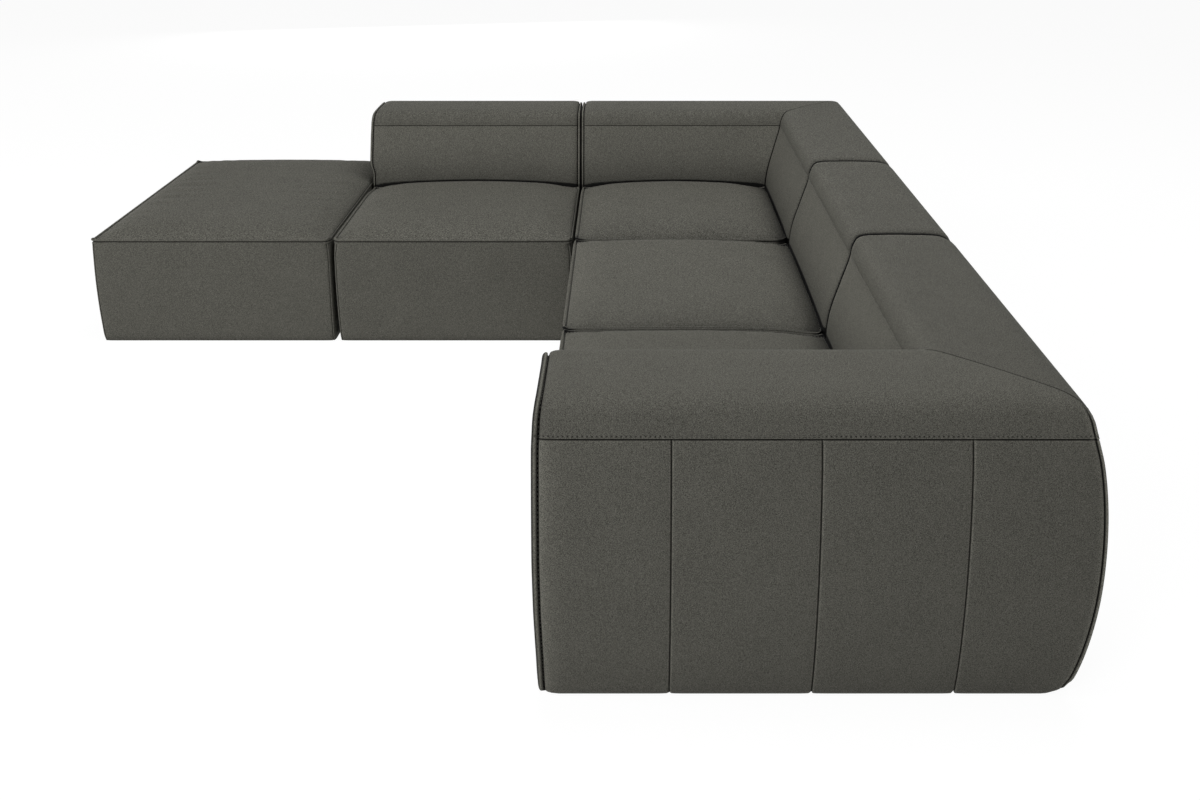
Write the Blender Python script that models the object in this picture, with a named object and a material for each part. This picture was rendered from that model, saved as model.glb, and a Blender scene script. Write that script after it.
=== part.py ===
"""Corner sofa made of five upholstered modules that clip together.

Every module is modelled in a frame of its own: X runs across the seat, Y from the front to the
back, Z up, and a corner of the module's footprint is at zero. Back walls stand on the +Y side,
and on the corner modules on the +X side as well. An empty carries each module to its place.
"""

import collections
import math

import bmesh
import bpy
from mathutils import Vector

# Overall sizes, in metres
MODULE_WIDTH = 0.88
MODULE_DEPTH = 1.19
MODULE_GAP = 0.004
BACK_HEIGHT = 0.702
WALL_THICKNESS = 0.41
SEAT_SEAM_HEIGHT = 0.382
SEAT_CROWN = 0.05
CLEARANCE = 0.0003
OVERRUN = 0.05
SHARP_EDGE_DEGREES = 40

# Underside: felt glides nailed through the lining
GLIDE_HEIGHT = 0.006
GLIDE_RADIUS = 0.028
GLIDE_TAPER = 0.004
GLIDE_SIDES = 16
GLIDE_INSET = 0.13
GLIDE_WALL_INSET = 0.195
LINING_THICKNESS = 0.002
LINING_INSET = 0.045
LINING_WALL_INSET = 0.11

# Seat covers
SIDE_TUCK = 0.028
SIDE_PADDING = 0.045
TOP_PADDING = 0.02
SEAT_CORNER_RADIUS = 0.03
CORNER_STEPS = 3
SIDE_STEPS = 3
SIDE_BOW = 0.004
ROLL = 0.011
SEAM_DEPTH = 0.004
WALL_SIDE_SHARE = 0.25
CROWN_ROUNDING_SHARE = 0.5
ROUNDEST_SHARE = 0.4

# Back walls
OUTER_SEAM_HEIGHT = 0.611
INNER_SEAM_HEIGHT = 0.641
WALL_PADDING = 0.02
END_ROUNDING = 0.009
CHANNEL_WIDTH = 0.012
CHANNEL_DEPTH = 0.004

# Seat frames of glued timber with a slatted deck
SEAT_FRAME_HEIGHT = 0.2
FRAME_CORNER_RADIUS = 0.01
RAIL = 0.03
DECK = 0.014
LARGEST_BAY = 0.28
SLAT = 0.06
SLAT_SPACING = 0.1

# Back frames of glued timber, in two ladders joined at the top and the bottom
BACK_FRAME_TOP = 0.59
BACK_FRAME_OUTER = 0.1
BACK_FRAME_INNER = 0.31
BACK_FRAME_END = 0.05
POST = 0.045
LADDER = 0.022
LADDER_RAIL = 0.06

# Clips: a tongue on one module slides into a jaw on the next
CLIP_FROM_FRONT = 0.35
CLIP_HEIGHT = 0.07
CLIP_LENGTH = 0.07
CLIP_PLATE_HEIGHT = 0.05
CLIP_PLATE = 0.003
CLIP_RECESS = 0.01
TONGUE = 0.004
TONGUE_REACH = 0.018
TONGUE_TIP = 0.004
JAW_LIP = 0.003
JAW_PLAY = 0.0005

# Heights that follow from the layers on the underside
LINING_BOTTOM = GLIDE_HEIGHT + CLEARANCE
FRAME_BOTTOM = LINING_BOTTOM + LINING_THICKNESS + CLEARANCE

# Seat cover's side: shares of the tuck, and of the height up to the roll along the seam
side_shares = ((1.0, 0.0), (0.5, 0.03), (0.34, 0.14), (0.14, 0.34), (0.0, 0.62), (0.06, 0.9))
# Roll and groove along the seat's edge: shares of the roll, inwards and up from the seam
roll_shares = ((0.15, -1.0), (0.0, -0.45), (0.45, 0.1), (1.2, -0.15), (1.8, 0.35))
# Crown: shares of half the seat's width, and of the crown's height
crown_shares = ((0.12, 0.42), (0.24, 0.72), (0.45, 0.93), (0.7, 1.0))
# Roll round a wall's free end: shares of the roll, along the wall, and of the end's rounding
end_roll_shares = ((0.0, 1.0), (0.3, 0.25), (0.7, 0.0))
end_groove_share = 1.3
end_rest_share = 1.9
# Wall's outside: shares of its thickness, and of the height from its foot to the outer seam
outer_panel_shares = (
    (0.19, 0.0), (0.125, 0.012), (0.08, 0.07), (0.035, 0.2), (0.0, 0.4),
    (0.0, 0.6), (0.02, 0.78), (0.052, 0.92), (0.075, 0.985),
)
outer_seam_share = 0.079
inner_seam_share = 0.8455
# Wall's rounded top: shares of its thickness, and of the height from the outer seam to the top
cap_shares = (
    (0.083, 0.08), (0.12, 0.56), (0.155, 0.79), (0.22, 0.94),
    (0.4, 1.0), (0.62, 1.0), (0.75, 0.965), (0.8, 0.86), (0.838, 0.5),
)
# Wall's inside: shares of its thickness, and of the height from its foot to the inner seam
inner_panel_shares = ((0.853, 0.975), (0.913, 0.855), (0.976, 0.72), (1.0, 0.6), (1.0, 0.0))
# Upright channels on a wall's outside, as shares of its length
narrow_channel_shares = (0.333, 0.667)
wide_channel_shares = (0.24, 0.5, 0.76)

# Finishes: material name, colour, roughness, metallic
FINISHES = {
    "leather": ("grey_leather", (0.107, 0.105, 0.091), 0.55, 0.0),
    "foam": ("cream_foam", (0.78, 0.72, 0.55), 0.95, 0.0),
    "timber": ("pale_timber", (0.55, 0.38, 0.22), 0.6, 0.0),
    "lining": ("black_lining", (0.012, 0.012, 0.013), 0.9, 0.0),
    "glide": ("grey_felt", (0.05, 0.05, 0.05), 0.85, 0.0),
    "steel": ("zinc_steel", (0.62, 0.63, 0.65), 0.32, 1.0),
}

Module = collections.namedtuple("Module", "name place turn wide walls clips")


# Scene and materials


def clear_scene():
    for item in list(bpy.data.objects):
        bpy.data.objects.remove(item, do_unlink=True)


def make_finishes():
    """The materials by their short names, from the table of finishes."""
    made = {}
    for key, (name, colour, roughness, metallic) in FINISHES.items():
        material = bpy.data.materials.new(name)
        material.use_nodes = True
        material.diffuse_color = (*colour, 1.0)
        shader = material.node_tree.nodes["Principled BSDF"]
        shader.inputs["Base Color"].default_value = (*colour, 1.0)
        shader.inputs["Roughness"].default_value = roughness
        shader.inputs["Metallic"].default_value = metallic
        made[key] = material
    return made


def add_object(name, form, material, parent, smooth=True):
    """Turns a bmesh into an object that hangs from parent."""
    bmesh.ops.recalc_face_normals(form, faces=form.faces)
    mesh = bpy.data.meshes.new(name)
    form.to_mesh(mesh)
    form.free()
    if smooth:
        mesh.shade_smooth()
        mesh.set_sharp_from_angle(angle=math.radians(SHARP_EDGE_DEGREES))
    item = bpy.data.objects.new(name, mesh)
    bpy.context.scene.collection.objects.link(item)
    item.parent = parent
    if material is not None:
        mesh.materials.append(material)
    return item


def cut(target, cutter, name):
    """Cuts one object out of another, and keeps the cutter as a hidden guide."""
    cutter.hide_render = True
    cutter.display_type = "WIRE"
    modifier = target.modifiers.new(name, "BOOLEAN")
    modifier.operation = "DIFFERENCE"
    modifier.solver = "EXACT"
    modifier.object = cutter


# Forms


def loft_form(sections):
    """Extrudes a face from each section to the next, so both ends are closed."""
    form = bmesh.new()
    first = form.faces.new([form.verts.new(point) for point in sections[0]])
    face = first
    for section in sections[1:]:
        grown = bmesh.ops.extrude_face_region(form, geom=[face])["geom"]
        if face is not first:
            form.faces.remove(face)
        face = next(item for item in grown if isinstance(item, bmesh.types.BMFace))
        for vertex, point in zip(face.verts, section):
            vertex.co = point
    return form


def add_box(form, low, high):
    """Adds a box between two corners."""
    made = bmesh.ops.create_cube(form, size=1.0)["verts"]
    size = Vector(high) - Vector(low)
    bmesh.ops.scale(form, vec=size, verts=made)
    bmesh.ops.translate(form, vec=Vector(low) + size / 2, verts=made)


def boxes_form(boxes):
    form = bmesh.new()
    for low, high in boxes:
        add_box(form, low, high)
    return form


def inset_outline(outline, distance):
    """Moves a closed outline inwards, with each corner on the bisector of its two edges."""
    area = sum(a[0] * b[1] - b[0] * a[1] for a, b in zip(outline, outline[1:] + outline[:1]))
    turn = math.copysign(1.0, area)
    moved = []
    for index, point in enumerate(outline):
        before = Vector(point) - Vector(outline[index - 1])
        after = Vector(outline[(index + 1) % len(outline)]) - Vector(point)
        normals = [Vector((-edge.y, edge.x)).normalized() * turn for edge in (before, after)]
        bisector = (normals[0] + normals[1]).normalized()
        moved.append(tuple(Vector(point) + bisector * distance / bisector.dot(normals[0])))
    return moved


# Seats


def seat_size(module):
    """Width and depth of the seat in front of its walls."""
    width = MODULE_DEPTH if module.wide else MODULE_WIDTH
    depth = MODULE_DEPTH
    if "back" in module.walls:
        depth -= WALL_THICKNESS + CLEARANCE
    if "side" in module.walls:
        width -= WALL_THICKNESS + CLEARANCE
    return width, depth


def seat_ring(module, inset, height, rounding=SEAT_CORNER_RADIUS, bow=0.0):
    """A rounded rectangle round the seat; where a wall stands, the ring stays close to it."""
    width, depth = seat_size(module)
    right_share = WALL_SIDE_SHARE if "side" in module.walls else 1.0
    back_share = WALL_SIDE_SHARE if "back" in module.walls else 1.0
    low = Vector((inset, inset))
    high = Vector((width - inset * right_share, depth - inset * back_share))
    radius = min(rounding, min(high - low) * ROUNDEST_SHARE)
    turns = (
        (Vector((high.x, low.y)), Vector((-1, 1)), -90),
        (Vector((high.x, high.y)), Vector((-1, -1)), 0),
        (Vector((low.x, high.y)), Vector((1, -1)), 90),
        (Vector((low.x, low.y)), Vector((1, 1)), 180),
    )
    arcs = []
    for corner, inwards, start in turns:
        centre = corner + inwards * radius
        angles = [math.radians(start + 90 * step / CORNER_STEPS) for step in range(CORNER_STEPS + 1)]
        arcs.append([centre + Vector((math.cos(a), math.sin(a))) * radius for a in angles])
    points = []
    for index, arc in enumerate(arcs):
        following = arcs[(index + 1) % len(arcs)]
        along = (following[0] - arc[-1]).normalized()
        inwards = Vector((-along.y, along.x))
        points += arc
        for step in range(1, SIDE_STEPS):
            share = step / SIDE_STEPS
            drawn_in = inwards * bow * math.sin(math.pi * share)
            points.append(arc[-1].lerp(following[0], share) + drawn_in)
    return [(point.x, point.y, height) for point in points]


def crown_rings(module, below):
    """Rings of the crowned top, lying below the cover's own surface by the given depth."""
    half = min(seat_size(module)) / 2
    rings = []
    for inset_share, rise_share in crown_shares:
        inset = half * inset_share
        height = SEAT_SEAM_HEIGHT + SEAT_CROWN * rise_share - below
        rounding = SEAT_CORNER_RADIUS + inset * CROWN_ROUNDING_SHARE
        rings.append(seat_ring(module, inset, height, rounding))
    return rings


def seat_core_rings(module, bottom, spare):
    """Straight-sided block with a crowned top that the padding wraps; spare makes it larger."""
    inset = SIDE_PADDING - spare
    edge = SEAT_SEAM_HEIGHT - TOP_PADDING + spare
    rings = [seat_ring(module, inset, height, FRAME_CORNER_RADIUS) for height in (bottom, edge)]
    crown = crown_rings(module, TOP_PADDING - spare)
    return rings + crown[1:]


def make_seat_cover(module, parent, material):
    """Leather and wadding with tucked sides, a rolled seam round the edge and a crowned top."""
    rise = SEAT_SEAM_HEIGHT - ROLL - FRAME_BOTTOM
    rings = []
    for tuck_share, height_share in side_shares:
        rings.append(seat_ring(module, SIDE_TUCK * tuck_share, FRAME_BOTTOM + rise * height_share))
    for inset_share, up_share in roll_shares:
        height = SEAT_SEAM_HEIGHT + ROLL * up_share
        rings.append(seat_ring(module, ROLL * inset_share, height, bow=SIDE_BOW))
    rings += crown_rings(module, 0.0)
    cover = add_object(module.name + "_seat_cover", loft_form(rings), material, parent)
    hollow = seat_core_rings(module, FRAME_BOTTOM - OVERRUN, CLEARANCE)
    cutter = add_object(module.name + "_seat_hollow", loft_form(hollow), None, parent)
    cut(cover, cutter, "hollow")
    return cover


def make_seat_foam(module, parent, material):
    rings = seat_core_rings(module, SEAT_FRAME_HEIGHT + CLEARANCE, 0.0)
    return add_object(module.name + "_seat_foam", loft_form(rings), material, parent)


def bays(low, high, border, rib):
    """Equal bays between ribs, none of them wider than the largest that the deck bridges."""
    length = high - low - 2 * border
    count = math.ceil((length + rib) / (LARGEST_BAY + rib))
    pitch = (length + rib) / count
    starts = [low + border + index * pitch for index in range(count)]
    return [(start, start + pitch - rib) for start in starts]


def seat_frame_limits(module):
    """Lowest and highest corner of the seat frame, inside the padding."""
    width, depth = seat_size(module)
    inset = SIDE_PADDING
    right = inset * (WALL_SIDE_SHARE if "side" in module.walls else 1.0)
    back = inset * (WALL_SIDE_SHARE if "back" in module.walls else 1.0)
    return (inset, inset, FRAME_BOTTOM), (width - right, depth - back, SEAT_FRAME_HEIGHT)


def make_seat_frame(module, parent, material):
    """Rails and cross-rails under a deck of slats."""
    low, high = seat_frame_limits(module)
    block = [
        seat_ring(module, SIDE_PADDING, height, FRAME_CORNER_RADIUS)
        for height in (FRAME_BOTTOM, SEAT_FRAME_HEIGHT)
    ]
    frame = add_object(module.name + "_seat_frame", loft_form(block), material, parent, False)
    bays_x = bays(low[0], high[0], RAIL, RAIL)
    bays_y = bays(low[1], high[1], RAIL, RAIL)
    under_deck = high[2] - DECK
    pockets = [
        ((x0, y0, low[2] - OVERRUN), (x1, y1, under_deck))
        for x0, x1 in bays_x
        for y0, y1 in bays_y
    ]
    cutter = add_object(module.name + "_frame_bays", boxes_form(pockets), None, parent, False)
    cut(frame, cutter, "bays")
    run = high[1] - low[1] - 2 * RAIL
    count = math.floor((run + SLAT_SPACING - SLAT) / SLAT_SPACING)
    pitch = (run + SLAT) / count
    slots = []
    for x0, x1 in bays_x:
        for index in range(count):
            start = low[1] + RAIL + index * pitch
            end = start + pitch - SLAT
            slots.append(((x0, start, under_deck - DECK), (x1, end, high[2] + OVERRUN)))
    cutter = add_object(module.name + "_slat_gaps", boxes_form(slots), None, parent, False)
    cut(frame, cutter, "slat gaps")
    return frame


# Back walls


def wall_outline(sunk=0.0, seam_depth=0.0):
    """Section of a wall as depth from its outer face and height; sunk draws in the outer panel."""
    foot = FRAME_BOTTOM
    outline = []
    for depth_share, height_share in outer_panel_shares:
        height = foot + (OUTER_SEAM_HEIGHT - foot) * height_share
        outline.append((WALL_THICKNESS * depth_share + sunk, height))
    outline.append((WALL_THICKNESS * outer_seam_share + seam_depth, OUTER_SEAM_HEIGHT))
    for depth_share, height_share in cap_shares:
        height = OUTER_SEAM_HEIGHT + (BACK_HEIGHT - OUTER_SEAM_HEIGHT) * height_share
        outline.append((WALL_THICKNESS * depth_share, height))
    outline.append((WALL_THICKNESS * inner_seam_share - seam_depth, INNER_SEAM_HEIGHT))
    for depth_share, height_share in inner_panel_shares:
        height = foot + (INNER_SEAM_HEIGHT - foot) * height_share
        outline.append((WALL_THICKNESS * depth_share, height))
    return outline


def wall_section(leg, distance, outline, lean=0.0, square=0.0):
    """A section at a distance from the wall's free end; past the square depth it leans back."""
    points = []
    for depth, height in outline:
        along = distance - max(0, depth - square) * lean
        across = MODULE_DEPTH - depth
        points.append((along, across, height) if leg == "back" else (across, along, height))
    return points


def wall_sweep(module, end, outline):
    """Sections that carry one plain outline along the module's wall, set in from its free ends."""
    if "side" in module.walls:
        return [
            wall_section("back", end, outline),
            wall_section("back", MODULE_DEPTH, outline, lean=1.0),
            wall_section("side", end, outline),
        ]
    return [
        wall_section("back", end, outline),
        wall_section("back", MODULE_WIDTH - end, outline),
    ]


def end_steps(outline):
    """The roll and groove round a wall's end: distance from the end, and the outline there."""
    plain = wall_outline()
    steps = []
    for along_share, rounding_share in end_roll_shares:
        steps.append((ROLL * along_share, inset_outline(plain, END_ROUNDING * rounding_share)))
    steps.append((ROLL * end_groove_share, inset_outline(plain, SEAM_DEPTH)))
    steps.append((ROLL * end_rest_share, outline))
    return steps


def channel_steps(length, shares, outline, sunk_outline):
    """Upright channels that draw in the outer panel."""
    steps = []
    for share in shares:
        middle = length * share
        steps.append((middle - CHANNEL_WIDTH / 2, outline))
        steps.append((middle, sunk_outline))
        steps.append((middle + CHANNEL_WIDTH / 2, outline))
    return steps


def straight_wall_sections(outline, sunk):
    ends = end_steps(outline)
    far_ends = [(MODULE_WIDTH - distance, line) for distance, line in reversed(ends)]
    steps = ends + channel_steps(MODULE_WIDTH, narrow_channel_shares, outline, sunk) + far_ends
    return [wall_section("back", distance, line) for distance, line in steps]


def mitred_leg_sections(leg, outline, sunk):
    """One leg of a corner wall, from its free end to the roll beside the mitre seam."""
    square = WALL_THICKNESS * outer_panel_shares[0][0]
    sections = [wall_section(leg, distance, line) for distance, line in end_steps(outline)]
    for distance, line in channel_steps(MODULE_DEPTH, wide_channel_shares, outline, sunk):
        sections.append(wall_section(leg, distance, line, distance / MODULE_DEPTH, square))
    sections.append(wall_section(leg, MODULE_DEPTH - ROLL, outline, lean=1.0))
    return sections


def make_back_cover(module, parent, material):
    """Leather and wadding over the wall, with a rolled end seam, channels and a mitred corner."""
    outline = wall_outline(seam_depth=SEAM_DEPTH)
    sunk = wall_outline(CHANNEL_DEPTH, SEAM_DEPTH)
    if "side" in module.walls:
        mitre_seam = inset_outline(wall_outline(), SEAM_DEPTH / 2)
        sections = mitred_leg_sections("back", outline, sunk)
        sections.append(wall_section("back", MODULE_DEPTH, mitre_seam, lean=1.0))
        sections += reversed(mitred_leg_sections("side", outline, sunk))
    else:
        sections = straight_wall_sections(outline, sunk)
    cover = add_object(module.name + "_back_cover", loft_form(sections), material, parent)
    hollow = padded_outline(WALL_PADDING - CLEARANCE, -OVERRUN)
    sweep = wall_sweep(module, WALL_PADDING - CLEARANCE, hollow)
    cutter = add_object(module.name + "_back_hollow", loft_form(sweep), None, parent)
    cut(cover, cutter, "hollow")
    return cover


def padded_outline(padding, foot):
    """The wall's plain section inside its padding, standing on the given height."""
    outline = inset_outline(wall_outline(), padding)
    first, *rest, last = outline
    return [(first[0], foot), *rest, (last[0], foot)]


def frame_outline(spare, foot, top):
    outer = BACK_FRAME_OUTER - spare
    inner = BACK_FRAME_INNER + spare
    return [(outer, foot), (outer, top), (inner, top), (inner, foot)]


def make_back_foam(module, parent, material):
    """Foam cap over the back frame."""
    outline = padded_outline(WALL_PADDING, FRAME_BOTTOM)
    sweep = wall_sweep(module, WALL_PADDING, outline)
    foam = add_object(module.name + "_back_foam", loft_form(sweep), material, parent)
    hollow = frame_outline(CLEARANCE, FRAME_BOTTOM - OVERRUN, BACK_FRAME_TOP + CLEARANCE)
    sweep = wall_sweep(module, BACK_FRAME_END - CLEARANCE, hollow)
    cutter = add_object(module.name + "_foam_hollow", loft_form(sweep), None, parent, False)
    cut(foam, cutter, "hollow")
    return foam


def window_boxes(length, leg):
    """Openings between the posts of one leg, right through the frame's thickness."""
    low = FRAME_BOTTOM + LADDER_RAIL
    high = BACK_FRAME_TOP - LADDER_RAIL
    outer = MODULE_DEPTH - BACK_FRAME_OUTER + OVERRUN
    inner = MODULE_DEPTH - BACK_FRAME_INNER - OVERRUN
    boxes = []
    for start, end in bays(BACK_FRAME_END, length, POST, POST):
        if leg == "back":
            boxes.append(((start, inner, low), (end, outer, high)))
        else:
            boxes.append(((inner, start, low), (outer, end, high)))
    return boxes


def make_back_frame(module, parent, material):
    """Two ladders of posts and rails, joined along the top and the bottom."""
    outline = frame_outline(0.0, FRAME_BOTTOM, BACK_FRAME_TOP)
    sweep = wall_sweep(module, BACK_FRAME_END, outline)
    frame = add_object(module.name + "_back_frame", loft_form(sweep), material, parent, False)
    if "side" in module.walls:
        run = MODULE_DEPTH - BACK_FRAME_INNER
        windows = window_boxes(run, "back") + window_boxes(run, "side")
    else:
        windows = window_boxes(MODULE_WIDTH - BACK_FRAME_END, "back")
    cutter = add_object(module.name + "_back_windows", boxes_form(windows), None, parent, False)
    cut(frame, cutter, "windows")
    low = FRAME_BOTTOM + LADDER_RAIL
    high = BACK_FRAME_TOP - LADDER_RAIL
    between = [
        (BACK_FRAME_OUTER + LADDER, low), (BACK_FRAME_OUTER + LADDER, high),
        (BACK_FRAME_INNER - LADDER, high), (BACK_FRAME_INNER - LADDER, low),
    ]
    sweep = wall_sweep(module, BACK_FRAME_END - OVERRUN, between)
    cutter = add_object(module.name + "_ladder_space", loft_form(sweep), None, parent, False)
    cut(frame, cutter, "space between ladders")
    return frame


# Underside


def make_lining(module, parent, material):
    """Woven dust cover stapled over the turned-in edges of the covers."""
    width = MODULE_DEPTH if module.wide else MODULE_WIDTH
    right = LINING_WALL_INSET if "side" in module.walls else LINING_INSET
    back = LINING_WALL_INSET if "back" in module.walls else LINING_INSET
    low = (LINING_INSET, LINING_INSET, LINING_BOTTOM)
    high = (width - right, MODULE_DEPTH - back, LINING_BOTTOM + LINING_THICKNESS)
    return add_object(module.name + "_dust_cover", boxes_form([(low, high)]), material, parent, False)


def make_glide(name, place, parent, material):
    """Felt glide, a little narrower where it stands on the floor."""
    form = bmesh.new()
    bmesh.ops.create_cone(
        form, cap_ends=True, segments=GLIDE_SIDES,
        radius1=GLIDE_RADIUS - GLIDE_TAPER, radius2=GLIDE_RADIUS, depth=GLIDE_HEIGHT,
    )
    glide = add_object(name, form, material, parent)
    glide.location = (*place, GLIDE_HEIGHT / 2)
    return glide


def glide_places(module):
    """Places of the four glides; they stand further in under a wall, where its frame is."""
    width = MODULE_DEPTH if module.wide else MODULE_WIDTH
    right = GLIDE_WALL_INSET if "side" in module.walls else GLIDE_INSET
    back = GLIDE_WALL_INSET if "back" in module.walls else GLIDE_INSET
    xs = {"left": GLIDE_INSET, "right": width - right}
    ys = {"front": GLIDE_INSET, "back": MODULE_DEPTH - back}
    return {f"{row}_{column}": (xs[column], ys[row]) for row in ys for column in xs}


# Clips


def clip_mount(module, side, name, parent):
    """An empty on a module's side, its X pointing out of the module."""
    width = MODULE_DEPTH if module.wide else MODULE_WIDTH
    places = {
        "left": ((0, CLIP_FROM_FRONT), 180),
        "right": ((width, CLIP_FROM_FRONT), 0),
        "front": ((CLIP_FROM_FRONT, 0), -90),
    }
    place, turn = places[side]
    mount = bpy.data.objects.new(name + "_mount", None)
    bpy.context.scene.collection.objects.link(mount)
    mount.parent = parent
    mount.location = (*place, CLIP_HEIGHT)
    mount.rotation_euler.z = math.radians(turn)
    return mount


def clip_outline(kind):
    """Section of a clip: distance out of the module, and height about the clip's middle."""
    half = CLIP_PLATE_HEIGHT / 2
    back = -CLIP_RECESS - CLIP_PLATE
    face = -CLIP_RECESS
    if kind == "tongue":
        tip = face + TONGUE_REACH
        thick = TONGUE / 2
        return [
            (back, -half), (face, -half), (face, -thick), (tip - TONGUE_TIP, -thick), (tip, -thick / 2),
            (tip, thick / 2), (tip - TONGUE_TIP, thick), (face, thick), (face, half), (back, half),
        ]
    slot = TONGUE / 2 + JAW_PLAY
    lip = slot + JAW_LIP
    mouth = MODULE_GAP
    return [
        (back, -half), (face, -half), (face, -lip), (mouth, -lip), (mouth, -slot), (face, -slot),
        (face, slot), (mouth, slot), (mouth, lip), (face, lip), (face, half), (back, half),
    ]


def make_clip(module, side, kind, cover, parent, material):
    """A clip screwed to the frame through the cover, with the pocket that it presses there."""
    name = module.name + "_clip_" + kind + "_" + side
    mount = clip_mount(module, side, name, parent)
    half = CLIP_LENGTH / 2
    sections = [[(x, y, z) for x, z in clip_outline(kind)] for y in (-half, half)]
    clip = add_object(name, loft_form(sections), material, mount, False)
    height = CLIP_PLATE_HEIGHT / 2 + CLEARANCE
    low = (-CLIP_RECESS - CLIP_PLATE - CLEARANCE, -half - CLEARANCE, -height)
    high = (OVERRUN, half + CLEARANCE, height)
    cutter = add_object(name + "_pocket", boxes_form([(low, high)]), None, mount, False)
    cut(cover, cutter, "pocket " + side)
    return clip


# Assembly


def make_module(module, finishes):
    parent = bpy.data.objects.new(module.name + "_module", None)
    bpy.context.scene.collection.objects.link(parent)
    parent.location = (*module.place, 0)
    parent.rotation_euler.z = math.radians(module.turn)
    make_seat_frame(module, parent, finishes["timber"])
    make_seat_foam(module, parent, finishes["foam"])
    cover = make_seat_cover(module, parent, finishes["leather"])
    make_lining(module, parent, finishes["lining"])
    if module.walls:
        make_back_frame(module, parent, finishes["timber"])
        make_back_foam(module, parent, finishes["foam"])
        make_back_cover(module, parent, finishes["leather"])
    for corner, place in glide_places(module).items():
        make_glide(f"{module.name}_foot_{corner}", place, parent, finishes["glide"])
    for side, kind in module.clips:
        make_clip(module, side, kind, cover, parent, finishes["steel"])


def sofa_modules():
    """The five modules: three along the far side, two towards the near end."""
    pitch = MODULE_WIDTH + MODULE_GAP
    left = -(2 * pitch + MODULE_DEPTH) / 2
    near = -(2 * MODULE_DEPTH + MODULE_WIDTH + 2 * MODULE_GAP) / 2
    near_joint = near + MODULE_DEPTH + MODULE_GAP
    far_joint = near_joint + pitch
    corner_left = left + 2 * pitch
    walls = ("back", "side")
    middle_clips = (("left", "jaw"), ("right", "tongue"))
    return [
        Module("ottoman", (left, far_joint), 0, False, (), (("right", "tongue"),)),
        Module("left", (left + pitch, far_joint), 0, False, ("back",), middle_clips),
        Module("corner", (corner_left, far_joint), 0, True, walls, (("left", "jaw"), ("front", "tongue"))),
        Module("right", (corner_left, far_joint - MODULE_GAP), -90, False, ("back",), middle_clips),
        Module("end", (corner_left, near_joint - MODULE_GAP), -90, True, walls, (("left", "jaw"),)),
    ]


def main():
    clear_scene()
    finishes = make_finishes()
    for module in sofa_modules():
        make_module(module, finishes)


main()
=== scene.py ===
"""Look of a modular corner sofa in warm grey leather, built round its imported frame.

Every cover is worked out in its module's own frame: X across the seat, Y from the front to the
back, Z up, and one corner of the footprint at zero. It is then placed where the frame says.
"""

import collections
import math

import bmesh
import bpy
import numpy as np
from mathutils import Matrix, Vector


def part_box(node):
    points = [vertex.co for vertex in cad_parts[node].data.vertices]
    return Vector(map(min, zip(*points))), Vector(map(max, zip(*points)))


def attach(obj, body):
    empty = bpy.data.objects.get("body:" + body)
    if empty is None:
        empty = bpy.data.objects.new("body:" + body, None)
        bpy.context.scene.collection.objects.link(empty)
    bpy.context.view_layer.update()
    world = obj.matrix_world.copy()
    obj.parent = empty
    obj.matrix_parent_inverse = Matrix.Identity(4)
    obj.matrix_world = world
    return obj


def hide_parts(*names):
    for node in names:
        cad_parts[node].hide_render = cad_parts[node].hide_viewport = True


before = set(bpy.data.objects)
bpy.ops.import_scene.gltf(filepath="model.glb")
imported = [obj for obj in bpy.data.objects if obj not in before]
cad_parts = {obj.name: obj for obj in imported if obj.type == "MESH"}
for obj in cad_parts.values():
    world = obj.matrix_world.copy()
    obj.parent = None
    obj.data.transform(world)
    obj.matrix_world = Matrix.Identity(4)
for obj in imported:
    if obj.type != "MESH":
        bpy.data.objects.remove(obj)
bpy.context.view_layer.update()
MM = 0.001

# Heights of the seams and the hem, in metres
SEAT_CROWN = 0.05
OUTER_SEAM_HEIGHT = 0.617
INNER_SEAM_HEIGHT = 0.641
HEM_HEIGHT = 0.0086
HEM_DROP = 0.0066

# Spacing of the points that carry the leather's surface
PANEL_STEP = 0.014
CLOSE_STEPS = tuple(step * MM for step in (0, 0.8, 1.6, 2.6, 4, 6, 9, 14, 22))

# Padding, as the inner faces of the covers leave it, and the timber inside
WALL_PADDING = 0.02
SIDE_PADDING = 0.045
TOP_PADDING = 0.02
BACK_FRAME_TOP = 0.59
BACK_FRAME_OUTER = 0.1
BACK_FRAME_INNER = 0.31
BACK_FRAME_END = 0.05
SEAT_FRAME_HEIGHT = 0.2
CLEARANCE = 0.0003

# Grooves, stitches, hem and joints
GROOVE_WIDTH = 1.5 * MM
GROOVE_DEPTH = 3.6 * MM
FINE_GROOVE_DEPTH = 1.8 * MM
CHANNEL_DEPTH = 3.8 * MM
STITCH_PITCH = 10 * MM
STITCH_LENGTH = 6.4 * MM
THREAD = 0.7 * MM
TOP_STITCH_DISTANCE = 6.8 * MM
# Row of a wall's skin along which stitches are spaced, and the rows beside its welt stitches
STITCH_ROW = 40
WELT_STITCH_ROWS = slice(2, -12)
HEM_NOTCH = 5 * MM
WELT_RAISE = 13 * MM
JOINT_INSET = 2.5 * MM
JOINT_SIDE_INSET = JOINT_INSET * 1.4
END_FOOT_RADIUS = 8 * MM
MITRE_FOOT_RADIUS = 36 * MM

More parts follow.
